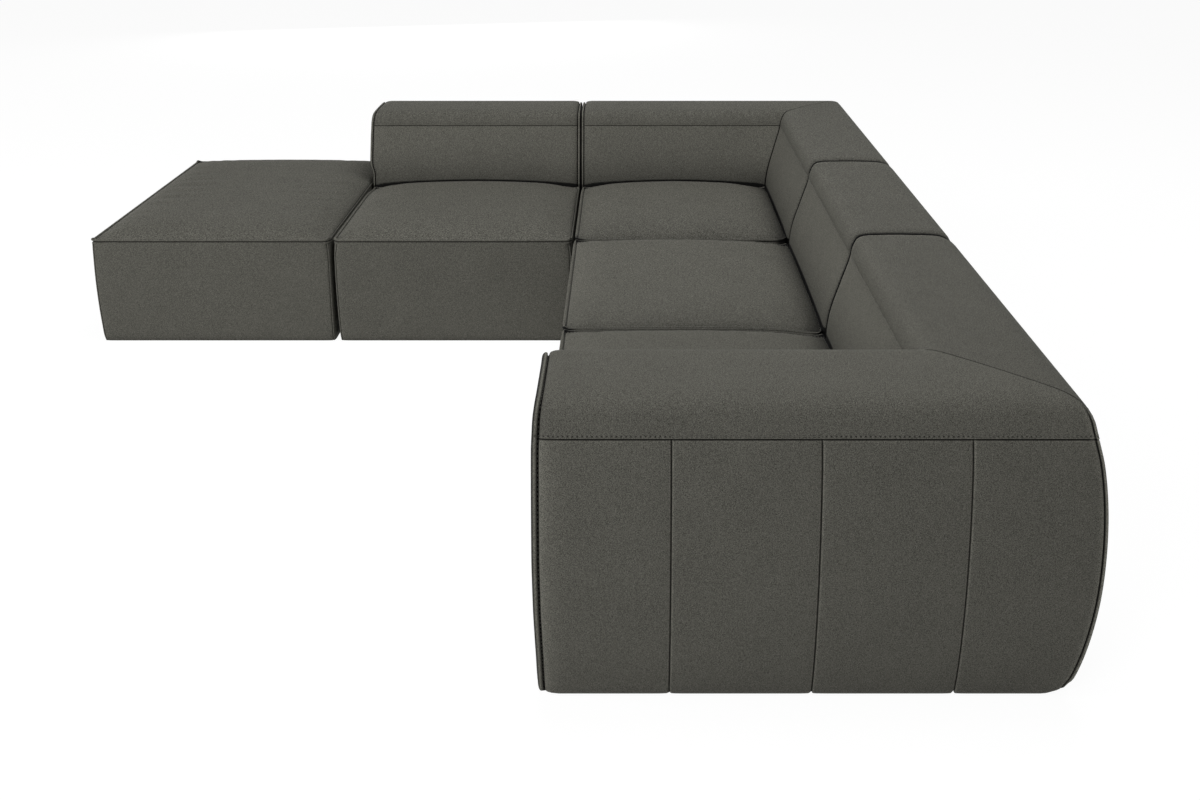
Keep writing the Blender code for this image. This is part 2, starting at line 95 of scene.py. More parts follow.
# Wall's section: shares of its thickness, and of heights between its foot, seams and top
OUTER_PANEL_SHARES = (
    (0.14, 0), (0.118, 0.012), (0.088, 0.07), (0.048, 0.2), (0.014, 0.4),
    (0.006, 0.6), (0.018, 0.78), (0.044, 0.92), (0.066, 0.985),
)
OUTER_SEAM_SHARE = 0.071
CAP_SHARES = (
    (0.075, 0.08), (0.102, 0.56), (0.135, 0.79), (0.2, 0.94),
    (0.4, 1), (0.62, 1), (0.75, 0.965), (0.8, 0.86), (0.838, 0.5),
)
INNER_SEAM_SHARE = 0.8455
INNER_PANEL_SHARES = ((0.853, 0.975), (0.913, 0.855), (0.976, 0.72), (1, 0.6), (1, 0))
# Outer share of the thickness that stays square to the wall as far as its last channel, and the
# length from the free end over which all of it does
SQUARE_SHARE = 0.19
FREE_LENGTH = 0.07
# Upright channels, as shares of a wall's length
NARROW_CHANNELS = (0.333, 0.667)
WIDE_CHANNELS = (0.24, 0.5, 0.76)

# Sides of a seat: those beside another module, under a full crown, in a wall's painted shade, in the
# painted shadow of a joint of the column, and where painted shade, and where painted light, grows towards its
# neighbour
SIDES = ("front", "right", "back", "left")
JOINED_SIDES = {
    "ottoman": ("right",), "left": ("left", "right"), "corner": ("left", "front"),
    "right": ("left", "right"), "end": ("left",),
}
FULL_SIDES = {
    "ottoman": ("right",), "left": ("right", "back"), "corner": ("right", "back"),
    "right": ("back",), "end": ("right", "back"),
}
SHADED_SIDES = {"corner": ("right",), "right": ("back",), "end": ("back",)}
JOINT_SHADOW_SIDES = {"corner": ("front",), "right": ("left", "right"), "end": ("left",)}
CROWN_SHADE_SIDES = {"corner": ("front",), "right": ("right",)}
CROWN_LIGHT_SIDES = {"right": ("left",), "end": ("left",)}
# Painted shade and painted light on a seat's top beside those sides: gain, reach, sharpness, and an even
# share
SIDE_SHADING = (
    (SHADED_SIDES, 0.75, 0.045, 1.6, 0), (SHADED_SIDES, 0.6, 2.2 * MM, 2, 0),
    (JOINED_SIDES, 0.25, 12 * MM, 1, 0), (CROWN_SHADE_SIDES, 0.22, 0.11, 1, -0.05),
    (CROWN_LIGHT_SIDES, -0.12, 0.07, 1, 0),
)
# Deepest painted shade, in a joint's shadow and beside a wall
DEEPEST_SHADE = 1.1
# Least painted shade of a seat's welt beside a joint of the column, and how far up its corners are in
# painted shadow, in millimetres: on the other seats and on the corner seat
JOINT_WELT_SHADE = 0.35
SHADED_WELT_TOP = (5.5, 6.4)

# Seat's side: shares of the tuck, and of the height up to the welt
SIDE_SHARES = ((0.68, 0), (0.5, 0.03), (0.34, 0.14), (0.14, 0.34), (0, 0.62), (0.03, 1))
SIDE_TUCK = 0.028
FULL_SIDE_SHARE = 0.42
JOINT_TUCK_SHARE = 0.3
# The ottoman's free side: how far its edge stands in, and the share taken off its tuck
FREE_SIDES = {"ottoman": ("left",)}
FREE_SIDE_INSET = 6 * MM
FREE_TUCK_CUT = 0.5
# Radii of a seat's corners at the foot and the top, free and beside another module
FOOT_RADII = (9 * MM, 13 * MM)
TOP_RADII = (9 * MM, 28 * MM)
# Millimetres inwards at which the welt's corners would come to a point
WELT_CORNER_REACH = 11.5

# Foam block of a seat: how full its crown is, and how far in its rings stand
FOAM_FULLNESS = 4.4
BLOCK_SHARES = (0.24, 0.34, 0.45, 0.58, 0.7)
# Crown of a seat: how soon it rises from a free edge, from a wall, and where it meets something
EDGE_SOFTNESS = 0.028
WALL_SOFTNESS = 0.05
CONTACT_SOFTNESS = 5 * MM
# Share of its height at which a crown meets what is on its right and behind it
CONTACT_SHARES = {
    "ottoman": (0.25, 0), "left": (0.45, 0.8), "corner": (0.5, 0.8), "right": (0, 0.5), "end": (0.8, 0.5),
}
# How the crown falls off into its corners, and the fold there
CORNER_DIP = 0.7
CORNER_REACH = 0.12
WALL_CORNER_REACH = 0.21
CORNER_FOLD = 0.035
# How far a seat's edge sinks at the two ends of its back wall, and how far along
WALL_CORNER_DROP = 15 * MM
DROP_REACH = 0.1

# Cloth simulation of a seat's top panel
PANEL_POINTS = 40
PANEL_FRAMES = 20
PRESSURE = 4
SLACK = 0.012
FULLNESS = 4.5 * MM
FOLD_LIMIT = 3 * MM

# Welt round a wall's free end: millimetres from the end, rise over the panel, and tone: painted shade
# in its grooves above 0, and painted highlight on its bead below 0
END_WELT = (
    (0, -14, 1), (0.8, -10.5, 1), (1.9, -8.2, 0.9), (3.4, -6.8, 0.6), (4.8, -5.9, 0.1),
    (6.2, -5.6, -0.7), (7.6, -5.7, -0.8), (9.2, -6.2, -0.2), (10.8, -7.2, 0.1), (12, -9.4, 0.5),
    (12.7, -12.4, 1.1), (13.4, -14, 1.3), (14.6, -14, 1.3), (15.5, -12, 1), (16.2, -8.8, 0.5),
    (17, -6.4, 0.3), (18.6, -4.8, 0.2), (22, -3.4, 0.1), (30, -1.4, 0.05), (46, 0, 0),
)
END_GROOVE = 14 * MM
# The near end's welt is full size, and the others are slimmer
SLIM_WELT = 0.8
# Reach of the painted shadow from a joint over a wall's end
JOINT_SHADOW_REACH = 13 * MM
# Welt down a wall's outer corner: millimetres from the mitre, rise over the panel, and tone: painted
# shade in its groove above 0, and painted highlight on its bead below 0
CORNER_WELT = (
    (0, 0.9, -0.9), (1.6, 0.7, -0.9), (3.2, -0.2, -0.2), (4.2, -2.2, 0.6), (4.9, -5, 1.1),
    (6.2, -5.4, 1.1), (7.2, -3.6, 0.6), (8, -2, -0.5), (9.2, -1.5, -0.9), (12, -1.1, -0.4),
    (20, -0.5, 0), (34, 0, 0),
)
# Welt down a seat's corners: millimetres from the corner, rise over the panel, and tone: painted shade
# in its groove above 0, and painted highlight beside it below 0
SIDE_WELT = (
    (0, 0, 0), (2.4, -0.2, -0.4), (3.8, -1, -0.2), (4.6, -3, 0.6), (5.2, -5.2, 1),
    (5.8, -5.2, 1), (6.4, -3.4, 0.6), (7.4, -2.4, -0.3), (10, -1.8, -0.4), (16, -1.1, -0.2),
    (26, -0.4, 0), (42, 0, 0),
)
# Welt round a seat's top edge: millimetres out from the side panel and up from the seam, and tone:
# painted shade above 0 and painted highlight below 0
TOP_WELT = (
    (-2, -9.5, -0.3), (-2.3, -6.4, -0.55), (-3, -5.4, -0.5), (-4.8, -4.6, 0.6), (-6, -3.2, 0.9),
    (-5.2, -1.8, 0.9), (-2.4, -1.2, 0.5), (-0.9, -0.2, -0.1), (-0.2, 1.4, -0.45), (-0.2, 3, -0.5),
    (-1, 4.8, -0.45), (-2.8, 6, -0.25), (-5.2, 6.5, -0.1), (-7.8, 6.2, 0), (-9.7, 5.2, 0.15),
    (-10.9, 3.8, 0.6),
)
TOP_GROOVE_INSET = 12 * MM
TOP_GROOVE_RISE = 2.6 * MM
# How far a wall's free end swells outwards, in millimetres, by height in metres
END_SWELL = (
    (0, 0), (0.03, 0), (0.1, 1), (0.22, 4.4), (0.34, 5.6), (0.46, 4.6), (0.6, 3.7),
    (0.655, 1), (0.68, -2.5), (0.702, -8),
)
# Free ends: the lowest height that swells, and how much further out it stands
FREE_ENDS = {"left": (0.44, 8 * MM), "end": (0, 0)}
# Rings of a wall's end panel: share of the way to its middle, and millimetres sunk
END_PANEL_RINGS = ((0.012, 1.4), (0.03, 0.4), (0.08, -0.6), (0.2, -1.1), (0.45, -1.3), (0.8, -1.3))
# Height of an end panel's middle as a share of its rim's, and how much fuller the near end's is
END_PANEL_MIDDLE = 0.72
NEAR_END_BULGE = 3

LEATHER_COLOUR = (0.107, 0.1045, 0.0895)
WORLD_LIGHT = 0.08
# Lamps: place, what they face, size and power
LAMPS = (
    ("overhead_softbox", (1.2, 0.3, 5.0), (0.6, 0.3, 0.3), (3.5, 3.5), 118),
    ("front_softbox", (-4.5, -8.0, 4.5), (0, 0.5, 0.3), (4, 4), 395),
    ("left_softbox", (-10, -3, 5), (0, 0, 0.3), (4, 4), 455),
    ("back_fill", (-1.5, 9.0, 0.9), (0, 1.6, 0.35), (4, 1.2), 75),
    ("right_fill", (9.0, 0.8, 0.9), (1.5, 0, 0.35), (4, 1.2), 75),
)
# Degrees that the camera looks down
CAMERA_DIP = 13.449

Module = collections.namedtuple("Module", "name turn walls origin width depth seat_width seat_depth")


# Modules, measured on the frame


def measure_module(name, turn, walls):
    """Where a module stands and how large it is, from the boxes of its covers."""
    low, high = map(Vector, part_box(name + "_seat_cover"))
    seat = high - low
    if walls:
        wall_low, wall_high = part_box(name + "_back_cover")
        low, high = Vector(map(min, low, wall_low)), Vector(map(max, high, wall_high))
    size = high - low
    if turn:
        return Module(name, turn, walls, (low.x, high.y), size.y, size.x, seat.y, seat.x)
    return Module(name, turn, walls, (low.x, low.y), size.x, size.y, seat.x, seat.y)


MODULES = [
    measure_module("ottoman", 0, ()),
    measure_module("left", 0, ("back",)),
    measure_module("corner", 0, ("back", "side")),
    measure_module("right", -90, ("back",)),
    measure_module("end", -90, ("back", "side")),
]
BACK_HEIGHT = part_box("corner_back_cover")[1][2]
SEAT_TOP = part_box("corner_seat_cover")[1][2]
SEAM_HEIGHT = SEAT_TOP - SEAT_CROWN
EDGE_HEIGHT = SEAM_HEIGHT + WELT_RAISE
WALL_THICKNESS = MODULES[1].depth - MODULES[1].seat_depth - CLEARANCE


def wall_length(module):
    return module.depth if "side" in module.walls else module.width


def placed(module, points):
    """Points of a module's own frame, in the sofa's frame."""
    x, y, z = np.moveaxis(np.asarray(points, float), -1, 0)
    if module.turn:
        x, y = y, -x
    return np.stack([module.origin[0] + x, module.origin[1] + y, z], axis=-1)


# Lines and profiles


def bell(distance, width):
    """1 at zero, and falling to nothing on both sides."""
    return np.exp(-((distance / width) ** 2))


def smooth_step(low, high, value):
    share = np.clip((value - low) / (high - low), 0, 1)
    return share * share * (3 - 2 * share)


def stations(length, step, marks=()):
    """Places from zero to length: fine ones beside each mark, and even steps between them."""
    edges = {0.0, length}
    for place, offsets in marks:
        edges.update(round(place + offset, 6) for offset in offsets if 0 < place + offset < length)
    edges = sorted(edges)
    places = []
    for low, high in zip(edges, edges[1:]):
        count = max(1, math.ceil((high - low) / step))
        places += [low + (high - low) * index / count for index in range(count)]
    return np.array(places + [length])


def both_ways(steps):
    return tuple(-step for step in reversed(steps[1:])) + tuple(steps)


def smooth_line(points, samples=24):
    """A smooth curve through points, as closely spaced points."""
    points = np.array(points, float)
    ends = np.vstack([2 * points[0] - points[1], points, 2 * points[-1] - points[-2]])
    knots = np.concatenate([[0], np.cumsum(np.linalg.norm(np.diff(ends, axis=0), axis=1) ** 0.5)])
    line = []
    for index in range(len(points) - 1):
        t = np.linspace(knots[index + 1], knots[index + 2], samples, endpoint=False)[:, None]
        curves = ends[index:index + 4]
        for first, span in ((index, 1), (index, 2), (index + 1, 1)):
            curves = [
                (high - t) / (high - low) * before + (t - low) / (high - low) * after
                for low, high, before, after in zip(knots[first:], knots[first + span:], curves, curves[1:])
            ]
        line.append(curves[0])
    return np.vstack(line + [points[-1:]])


def arc_lengths(line):
    return np.concatenate([[0], np.cumsum(np.linalg.norm(np.diff(line, axis=0), axis=1))])


def along_line(places, line):
    """Points at given lengths along a line in a plane."""
    lengths = arc_lengths(line)
    return np.stack([np.interp(places, lengths, line[:, axis]) for axis in (0, 1)], axis=1)


def read_table(distance, table):
    """Rise in metres and painted shade and light, from a table of millimetres, for distances in metres."""
    places, heights, tones = np.array(table).T
    away = np.abs(distance) / MM
    return np.interp(away, places, heights) * MM, np.interp(away, places, tones)


def groove(distance, depth, drawn=0.35):
    """A sewn line: a narrow groove, with the leather drawn in a little on both sides."""
    return -depth * (bell(distance, GROOVE_WIDTH) + drawn * np.exp(-np.abs(distance) / (5 * GROOVE_WIDTH)))


def line_shading(distance, width=1.35 * MM):
    """Painted shading of a sewn line: 1 for the painted shade in its groove, and below 0 for painted
    highlights on its rims.
    """
    return bell(distance, width) - 0.45 * bell(np.abs(distance) - 3.1 * MM, 1.2 * MM)


def wall_outline():
    """Control points of a wall's section: its outer panel, its cap and its inner panel."""
    parts = []
    for shares, foot, top, seam in (
        (OUTER_PANEL_SHARES, HEM_HEIGHT, OUTER_SEAM_HEIGHT, [(OUTER_SEAM_SHARE, OUTER_SEAM_HEIGHT)]),
        (CAP_SHARES, OUTER_SEAM_HEIGHT, BACK_HEIGHT, [(INNER_SEAM_SHARE, INNER_SEAM_HEIGHT)]),
        (INNER_PANEL_SHARES, HEM_HEIGHT, INNER_SEAM_HEIGHT, []),
    ):
        points = [(u, foot + (top - foot) * v) for u, v in shares] + seam
        parts.append([(WALL_THICKNESS * u, height) for u, height in points])
    return parts


def wall_profile():
    """The wall's section at close spacing, with each point's distance along it from both seams."""
    outer, cap, inner = wall_outline()
    line = smooth_line(outer + cap + inner)
    along = arc_lengths(line)
    samples = (len(line) - 1) // (len(outer) + len(cap) + len(inner) - 1)
    outer_seam = along[(len(outer) - 1) * samples]
    inner_seam = along[(len(outer) + len(cap) - 1) * samples]
    near = both_ways(CLOSE_STEPS)
    row = tuple(TOP_STITCH_DISTANCE + step * MM for step in (-2.4, -1.2, 0, 1.2, 2.4))
    half = len(line) // 2
    seat_meets = np.interp(-SEAT_TOP, -line[half:, 1], along[half:])
    contact = [step * 3.5 * MM for step in range(-6, 13)]
    marks = [(outer_seam, near + row), (inner_seam, near), (seat_meets, contact)]
    places = stations(along[-1], PANEL_STEP, marks)
    return along_line(places, line), places - outer_seam, places - inner_seam


def inset_profile(distance):
    """Plain section of a wall, drawn in by a distance, standing on the hem's height."""
    outline = np.array(sum(wall_outline(), []))
    tangent = np.gradient(outline, axis=0)
    normal = np.stack([tangent[:, 1], -tangent[:, 0]], axis=1)
    normal /= np.linalg.norm(normal, axis=1, keepdims=True)
    moved = outline + normal * distance
    moved[0, 1] = moved[-1, 1] = HEM_HEIGHT
    moved[:, 1] = np.maximum(moved[:, 1], HEM_HEIGHT)
    return moved


# Meshes


def grid_faces(first, rows, columns, closed=False):
    """Quads of a grid whose points are numbered row by row."""
    faces = []
    for row in range(rows - 1):
        start = first + row * columns
        for column in range(columns if closed else columns - 1):
            following = start + (column + 1) % columns
            faces.append((start + column, following, following + columns, start + column + columns))
    return faces


def strip_faces(near, far):
    """Quads between two closed loops of numbered points."""
    return list(zip(near, near[1:] + near[:1], far[1:] + far[:1], far))


def close_shell(outside, inside):
    """Joins an outer and an inner skin along their feet into one closed shell."""
    (points, faces, loop), (inner_points, inner_faces, inner_loop) = outside, inside
    shift = len(points)
    faces = faces + [tuple(number + shift for number in face) for face in inner_faces]
    faces += strip_faces(loop, [number + shift for number in inner_loop])
    return np.concatenate([points, inner_points]), faces


def add_object(name, data):
    made = bpy.data.objects.new(name, data)
    bpy.context.scene.collection.objects.link(made)
    return made


def make_piece(module, name, points, faces, material, slot, seams=None):
    """A smooth, closed piece that rides on its module, with its faces outwards.

    Seams, for the material to read, are the distances along and across the nearest row of
    stitches and the painted shade and light on the leather, for the points that show.
    """
    mesh = bpy.data.meshes.new(module.name + name)
    mesh.from_pydata([tuple(point) for point in points], [], faces)
    form = bmesh.new()
    form.from_mesh(mesh)
    bmesh.ops.recalc_face_normals(form, faces=form.faces)
    if form.calc_volume(signed=True) < 0:
        bmesh.ops.reverse_faces(form, faces=form.faces)
    form.to_mesh(mesh)
    form.free()
    mesh.shade_smooth()
    mesh.materials.append(material)
    if seams is not None:
        values = np.tile((0.0, 1.0, 0.0), (len(points), 1))
        values[:len(seams)] = seams
        mesh.attributes.new("seams", "FLOAT_VECTOR", "POINT").data.foreach_set("vector", values.ravel())
    piece = add_object(module.name + name, mesh)
    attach(piece, module.name + "_module")
    return piece


# Back walls


class WallGrid:
    """Points of a wall's band: rows follow the profile, and columns follow the wall's length."""

    def __init__(self, module, profile, places, last_straight):
        self.profile = profile
        self.mitred = "side" in module.walls
        self.depth = profile[:, :1]
        self.length = wall_length(module)
        along = self.lean(places[None, :], last_straight)
        along, across, height = np.broadcast_arrays(along, module.depth - self.depth, profile[:, 1:])
        self.points = np.stack([along, across, height], axis=-1)
        self.on_back = np.full(len(places), True)
        if self.mitred:
            side = np.stack([across, along, height], axis=-1)[:, -2::-1]
            self.points = np.concatenate([self.points, side], axis=1)
            along = np.concatenate([along, along[:, -2::-1]], axis=1)
            self.on_back = np.arange(along.shape[1]) < len(places)
        self.along = along
        self.from_end = along if self.mitred else np.minimum(along, self.length - along)
        self.from_mitre = np.full(along.shape, 9.0)
        if self.mitred:
            self.from_mitre = np.maximum(module.depth - self.depth - along, 0)
        normals = np.cross(np.gradient(self.points, axis=1), np.gradient(self.points, axis=0))
        normals /= np.linalg.norm(normals, axis=-1, keepdims=True)
        self.normals = -normals if normals[0, 1, 1] < 0 else normals

    def lean(self, steps, last_straight):
        """Distance along the wall; sections lean back more and more towards the mitre."""
        if not self.mitred:
            return steps
        square = WALL_THICKNESS * SQUARE_SHARE
        inside, outside = np.maximum(self.depth - square, 0), np.minimum(self.depth, square)
        inner_lean = np.clip((steps - FREE_LENGTH) / (self.length - FREE_LENGTH), 0, 1)
        outer_lean = np.clip((steps - last_straight) / (self.length - last_straight), 0, 1)
        return steps - inside * inner_lean - outside * outer_lean


def wall_skin(module, grid, band, bulges=(0.0, 0.0), ring_count=None):
    """A wall's band with its two end panels, and the loop of points along its foot."""
    rows, columns = band.shape[:2]
    points = [band.reshape(-1, 3)]
    faces = grid_faces(0, rows, columns)
    first = rows * columns
    ways = np.array([(-1.0, 0, 0), (0, -1.0, 0) if grid.mitred else (1.0, 0, 0)])
    feet = []
    for edge, way, bulge in zip((0, columns - 1), ways, bulges):
        numbers = [[row * columns + edge for row in range(rows)]]
        for panel in end_rings(grid, band[:, edge], edge, way, bulge)[:ring_count]:
            points.append(panel)
            numbers.append(list(range(first, first + rows)))
            first += rows
        for inside, outside in zip(numbers[1:], numbers):
            faces += [(outside[i], outside[i + 1], inside[i + 1], inside[i]) for i in range(rows - 1)]
        faces.append(tuple(numbers[-1]))
        feet.append(([row[0] for row in numbers[1:]], [row[-1] for row in numbers[1:]]))
    outer_foot = list(range(columns))
    inner_foot = [(rows - 1) * columns + column for column in reversed(range(columns))]
    loop = outer_foot + feet[1][0] + feet[1][1][::-1] + inner_foot + feet[0][1] + feet[0][0][::-1]
    return placed(module, np.concatenate(points)), faces, loop


def end_rings(grid, rim, edge, outward, bulge):
    """Rings of an end panel, from just inside the welt to its middle."""
    level = -grid.normals[0, edge] * (1, 1, 0)
    level -= outward * np.dot(level, outward)
    middle = rim[0] + level / np.linalg.norm(level) * (WALL_THICKNESS / 2 - grid.profile[0, 0])
    middle = np.tile(middle, (len(rim), 1))
    middle[:, 2] = HEM_HEIGHT + (rim[:, 2] - HEM_HEIGHT) * END_PANEL_MIDDLE
    return [
        rim * (1 - share) + middle * share - outward * (sunk * bulge * MM) for share, sunk in END_PANEL_RINGS
    ]


def plain_wall_skin(module, places, profile, end, drop=0.0, ring_count=None):
    """A plain skin with the same columns as a wall's leather, set in from its free ends."""
    length = places[-1]
    free_ends = 1 if "side" in module.walls else 2
    steps = end + places * (length - free_ends * end) / length
    grid = WallGrid(module, profile, steps, length * WIDE_CHANNELS[-1])
    grid.points[0, :, 2] -= drop
    return wall_skin(module, grid, grid.points, ring_count=ring_count)


def welt_scale(module):
    return 1.0 if module.name == "end" else SLIM_WELT


def wall_places(module):
    """Stations along a wall: close together at its ends, channels and mitre."""
    mitred, length = "side" in module.walls, wall_length(module)
    channels = [length * share for share in (WIDE_CHANNELS if mitred else NARROW_CHANNELS)]
    end_steps = [place * MM * welt_scale(module) for place, _, _ in END_WELT]
    last_steps = [place * MM for place, _, _ in CORNER_WELT] if mitred else end_steps
    marks = [(0.0, end_steps), (length, [-step for step in last_steps])]
    marks += [(channel, both_ways(CLOSE_STEPS)) for channel in channels]
    return stations(length, PANEL_STEP, marks), channels


def corner_lift(distance, radius):
    """How far the foot of the leather stands up where it rounds a corner."""
    near = np.clip(radius - distance, 0, radius)
    return radius - np.sqrt(radius * radius - near * near)


def in_joint_shadow(module, grid):
    """1 at an end whose joint with the next module is seen aslant, which takes the joint's painted shadow."""
    if module.name == "corner":
        ends = np.broadcast_to(~grid.on_back, grid.along.shape)
    else:
        ends = (grid.along > module.width / 2) & (module.name == "right")
    return ends * (1 - smooth_step(JOINT_SHADOW_REACH - 1.5 * MM, JOINT_SHADOW_REACH + 1 * MM, grid.from_end))


def wall_relief(module, grid, outer_seam, inner_seam, channels):
    """How far the leather stands off a wall's plain section, and its painted shade and light, seam by seam.
    """
    above, beyond = outer_seam[:, None], inner_seam[:, None]
    relief, tone = read_table(grid.from_end / welt_scale(module), END_WELT)
    end_groove = END_GROOVE * welt_scale(module)
    away = smooth_step(end_groove + 1 * MM, end_groove + 3 * MM, grid.from_end)
    relief += groove(above, GROOVE_DEPTH) * away * (1 - 0.75 * bell(grid.from_mitre, 9 * MM))
    relief += groove(beyond, FINE_GROOVE_DEPTH, 0.1) * away
    # The seam's allowance lies under the row of stitches, which dimples it
    allowance = smooth_step(0.8 * MM, 2.4 * MM, above) * (1 - smooth_step(8 * MM, 13 * MM, above))
    dimple = bell(above - TOP_STITCH_DISTANCE, 1.4 * MM)
    relief += (0.9 * MM * allowance - 0.8 * MM * dimple) * away
    # Parts that face the near end, and parts that belong to the column on the right
    frontal = (module.name == "left") | (grid.on_back & (module.name == "corner"))
    frontal = frontal * np.ones(grid.along.shape)
    in_column = 1 - np.maximum(frontal, (~grid.on_back & (module.name == "end")) * 1.0)
    # Painted shade in the seams' grooves, and painted highlights on their rims
    tone += (line_shading(above, 1.8 * MM) + (0.15 + 1.05 * frontal) * line_shading(beyond, 1.7 * MM)) * away
    # Painted light along the inner seam of walls that face the near end
    tone -= 0.13 * frontal * bell(beyond, 0.03)
    # Painted shade over the caps, and over the inner faces of the column
    on_top = smooth_step(-10 * MM, 25 * MM, above) * (beyond < 0)
    tone += on_top * (0.12 * in_column + 0.06 * frontal)
    tone += 0.05 * in_column * (beyond > 0)
    on_inner_face = smooth_step(0, 10 * MM, beyond)
    tone += shade_over_seat(module, grid, on_inner_face, frontal)
    # Near end: painted light beside its free end's welt, and on its outer face painted light at the free end
    # turning to painted shade towards the corner
    if module.name == "end":
        past = np.maximum(grid.from_end - end_groove, 0)
        painted_light = 0.55 * smooth_step(0, 3 * MM, past) * np.exp(-past / 0.018)
        tone += (0.1 * grid.from_end / grid.length - 0.05 - painted_light) * (above < 0)
    on_panel = 1 - smooth_step(-2 * MM, 1 * MM, above)
    # Each channel: a groove, with painted shade in it and painted highlights on its rims
    for channel in channels:
        relief += groove(grid.along - channel, CHANNEL_DEPTH) * on_panel
        tone += line_shading(grid.along - channel) * on_panel
    # The mitre is welted as far as a little above the outer seam, and plainly sewn over the top
    welted = 1 - smooth_step(0.03, 0.085, above)
    mitred = grid.from_mitre < 1
    corner_rise, corner_shading = read_table(grid.from_mitre, CORNER_WELT)
    relief += (welted * corner_rise + (1 - welted) * groove(grid.from_mitre, FINE_GROOVE_DEPTH)) * mitred
    # Painted highlight on the mitre's welt and painted shade in its groove, and painted shade in its plain
    # seam
    tone += (welted * corner_shading + (1 - welted) * bell(grid.from_mitre, 2.4 * MM)) * mitred
    # Painted shade in the inner corner where the two inner faces meet
    tone += 1.4 * on_inner_face * bell(grid.from_mitre, 3 * MM)
    # Painted shadow over the end of a joint seen aslant
    return relief, tone + (DEEPEST_SHADE - tone) * in_joint_shadow(module, grid) * (above > 0)


def shade_over_seat(module, grid, on_inner_face, frontal):
    """Painted shade on a wall's inner face: dark where the seat meets it, and painted light towards the top.
    """
    front, right, back, left = seat_insets(module, TOP_GROOVE_INSET, JOINT_INSET)
    far_x, far_y = module.seat_width - right, module.seat_depth - back
    near = np.where(frontal > 0, 9 * MM, 3 * MM)
    x = np.where(grid.on_back, np.clip(grid.along, left, far_x), far_x - near)
    y = np.where(grid.on_back, far_y - near, np.clip(grid.along, front, far_y))
    rise = grid.points[..., 2] - EDGE_HEIGHT - (SEAT_TOP - EDGE_HEIGHT) * crown(module, x, y)
    over = np.maximum(rise, 0)
    dark = 0.95 * bell(over, 3.5 * MM) + 0.32 * np.exp(-over / 0.045)
    # Painted shade deeper in the corner between two walls, with painted light further up
    if grid.mitred:
        in_corner = np.exp(-np.maximum(module.seat_width - grid.along, 0) / 0.09)
        dark += in_corner * (0.3 * np.exp(-over / 0.09) - 0.12)
    # More painted shade on the corner module's inner faces
    dark += 0.06 * (module.name == "corner")
    return np.where(rise < 0, 1.0, dark - 0.16 * smooth_step(0.05, 0.18, over)) * on_inner_face


def swell_free_end(module, grid, band):
    """Fills out a wall's free end at mid height, and draws it in at the top, above its neighbour."""
    heights, swells = np.array(END_SWELL).T
    height = band[..., 2]
    lowest, further = FREE_ENDS[module.name]
    swell = (np.interp(height, heights, swells) * MM + further) * bell(grid.along, 0.04)
    swell *= smooth_step(lowest, lowest + 0.05, height)
    leg = grid.on_back != grid.mitred
    band[:, leg, int(grid.mitred)] -= swell[:, leg]


def make_back_cover(module, material):
    """Leather over a wall, with its welts, seams, channels and mitred corner."""
    profile, outer_seam, inner_seam = wall_profile()
    places, channels = wall_places(module)
    grid = WallGrid(module, profile, places, channels[-1] + 12 * MM)
    relief, tone = wall_relief(module, grid, outer_seam, inner_seam, channels)
    band = grid.points + grid.normals * relief[..., None]
    if module.name in FREE_ENDS:
        swell_free_end(module, grid, band)
    over_hem = profile[:, 1:] - HEM_HEIGHT
    outside = outer_seam[:, None] < 0
    low = (1 - smooth_step(0, 0.02, over_hem)) * outside
    near_foot = (1 - smooth_step(0, 0.05, over_hem)) * outside
    rounding = corner_lift(grid.from_end[0], END_FOOT_RADIUS)
    rounding += corner_lift(grid.from_mitre[0], MITRE_FOOT_RADIUS) / 2
    notch = sum(bell(grid.along - channel, 2.2 * MM) for channel in channels)
    band[..., 2] += near_foot * rounding + HEM_NOTCH * notch * low
    band[-1, :, 2] = HEM_HEIGHT
    band[0, :, 2] = np.maximum(band[0, :, 2], HEM_HEIGHT)
    band[..., 2] -= HEM_DROP * low
    inside = plain_wall_skin(module, places, inset_profile(WALL_PADDING), WALL_PADDING, HEM_DROP - rounding)
    bulges = (1.0, NEAR_END_BULGE if module.name == "end" else 1.0)
    points, faces = close_shell(wall_skin(module, grid, band, bulges), inside)
    from_stitches = (outer_seam - TOP_STITCH_DISTANCE)[:, None]
    seams = np.stack(np.broadcast_arrays(arc_lengths(band[STITCH_ROW]), from_stitches, tone), axis=-1)
    piece = make_piece(module, "_back_leather", points, faces, material, "leather", seams.reshape(-1, 3))
    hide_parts(module.name + "_back_cover")
    return band, grid, outer_seam


# Seats


def ring(module, insets, radii, across, down):
    """Points of a rounded rectangle in plan, by shares of its four sides, with their normals."""
    front, right, back, left = insets
    far_x, far_y = module.seat_width - right, module.seat_depth - back
    corners = np.array([(left, front), (far_x, front), (far_x, far_y), (left, far_y)])
    ways = np.array([(1.0, 0), (0, 1.0), (-1.0, 0), (0, -1.0)])
    radii = np.broadcast_to(radii, 4)
    points, normals = [], []
    for side, shares in enumerate((across, down, across, down)):
        following = (side + 1) % 4
        way, inwards = ways[side], ways[following]
        length = np.linalg.norm(corners[following] - corners[side])
        away = shares[:-1, None] * length
        point, normal = corners[side] + way * away, -inwards
        for corner, distance, sense in ((following, length - away, 1), (side, away, -1)):
            radius = radii[corner]
            angle = math.pi / 4 * (1 - distance / radius)
            rounded = -np.cos(angle) * inwards + sense * np.sin(angle) * way
            centre = corners[corner] + radius * (inwards - sense * way)
            point = np.where(distance < radius, centre + radius * rounded, point)
            normal = np.where(distance < radius, rounded, normal)
        points.append(point)
        normals.append(normal)
    return np.concatenate(points), np.concatenate(normals)


def sides_in(table, module):
    """Which of a seat's four sides a table names."""
    return np.array([side in table.get(module.name, ()) for side in SIDES])


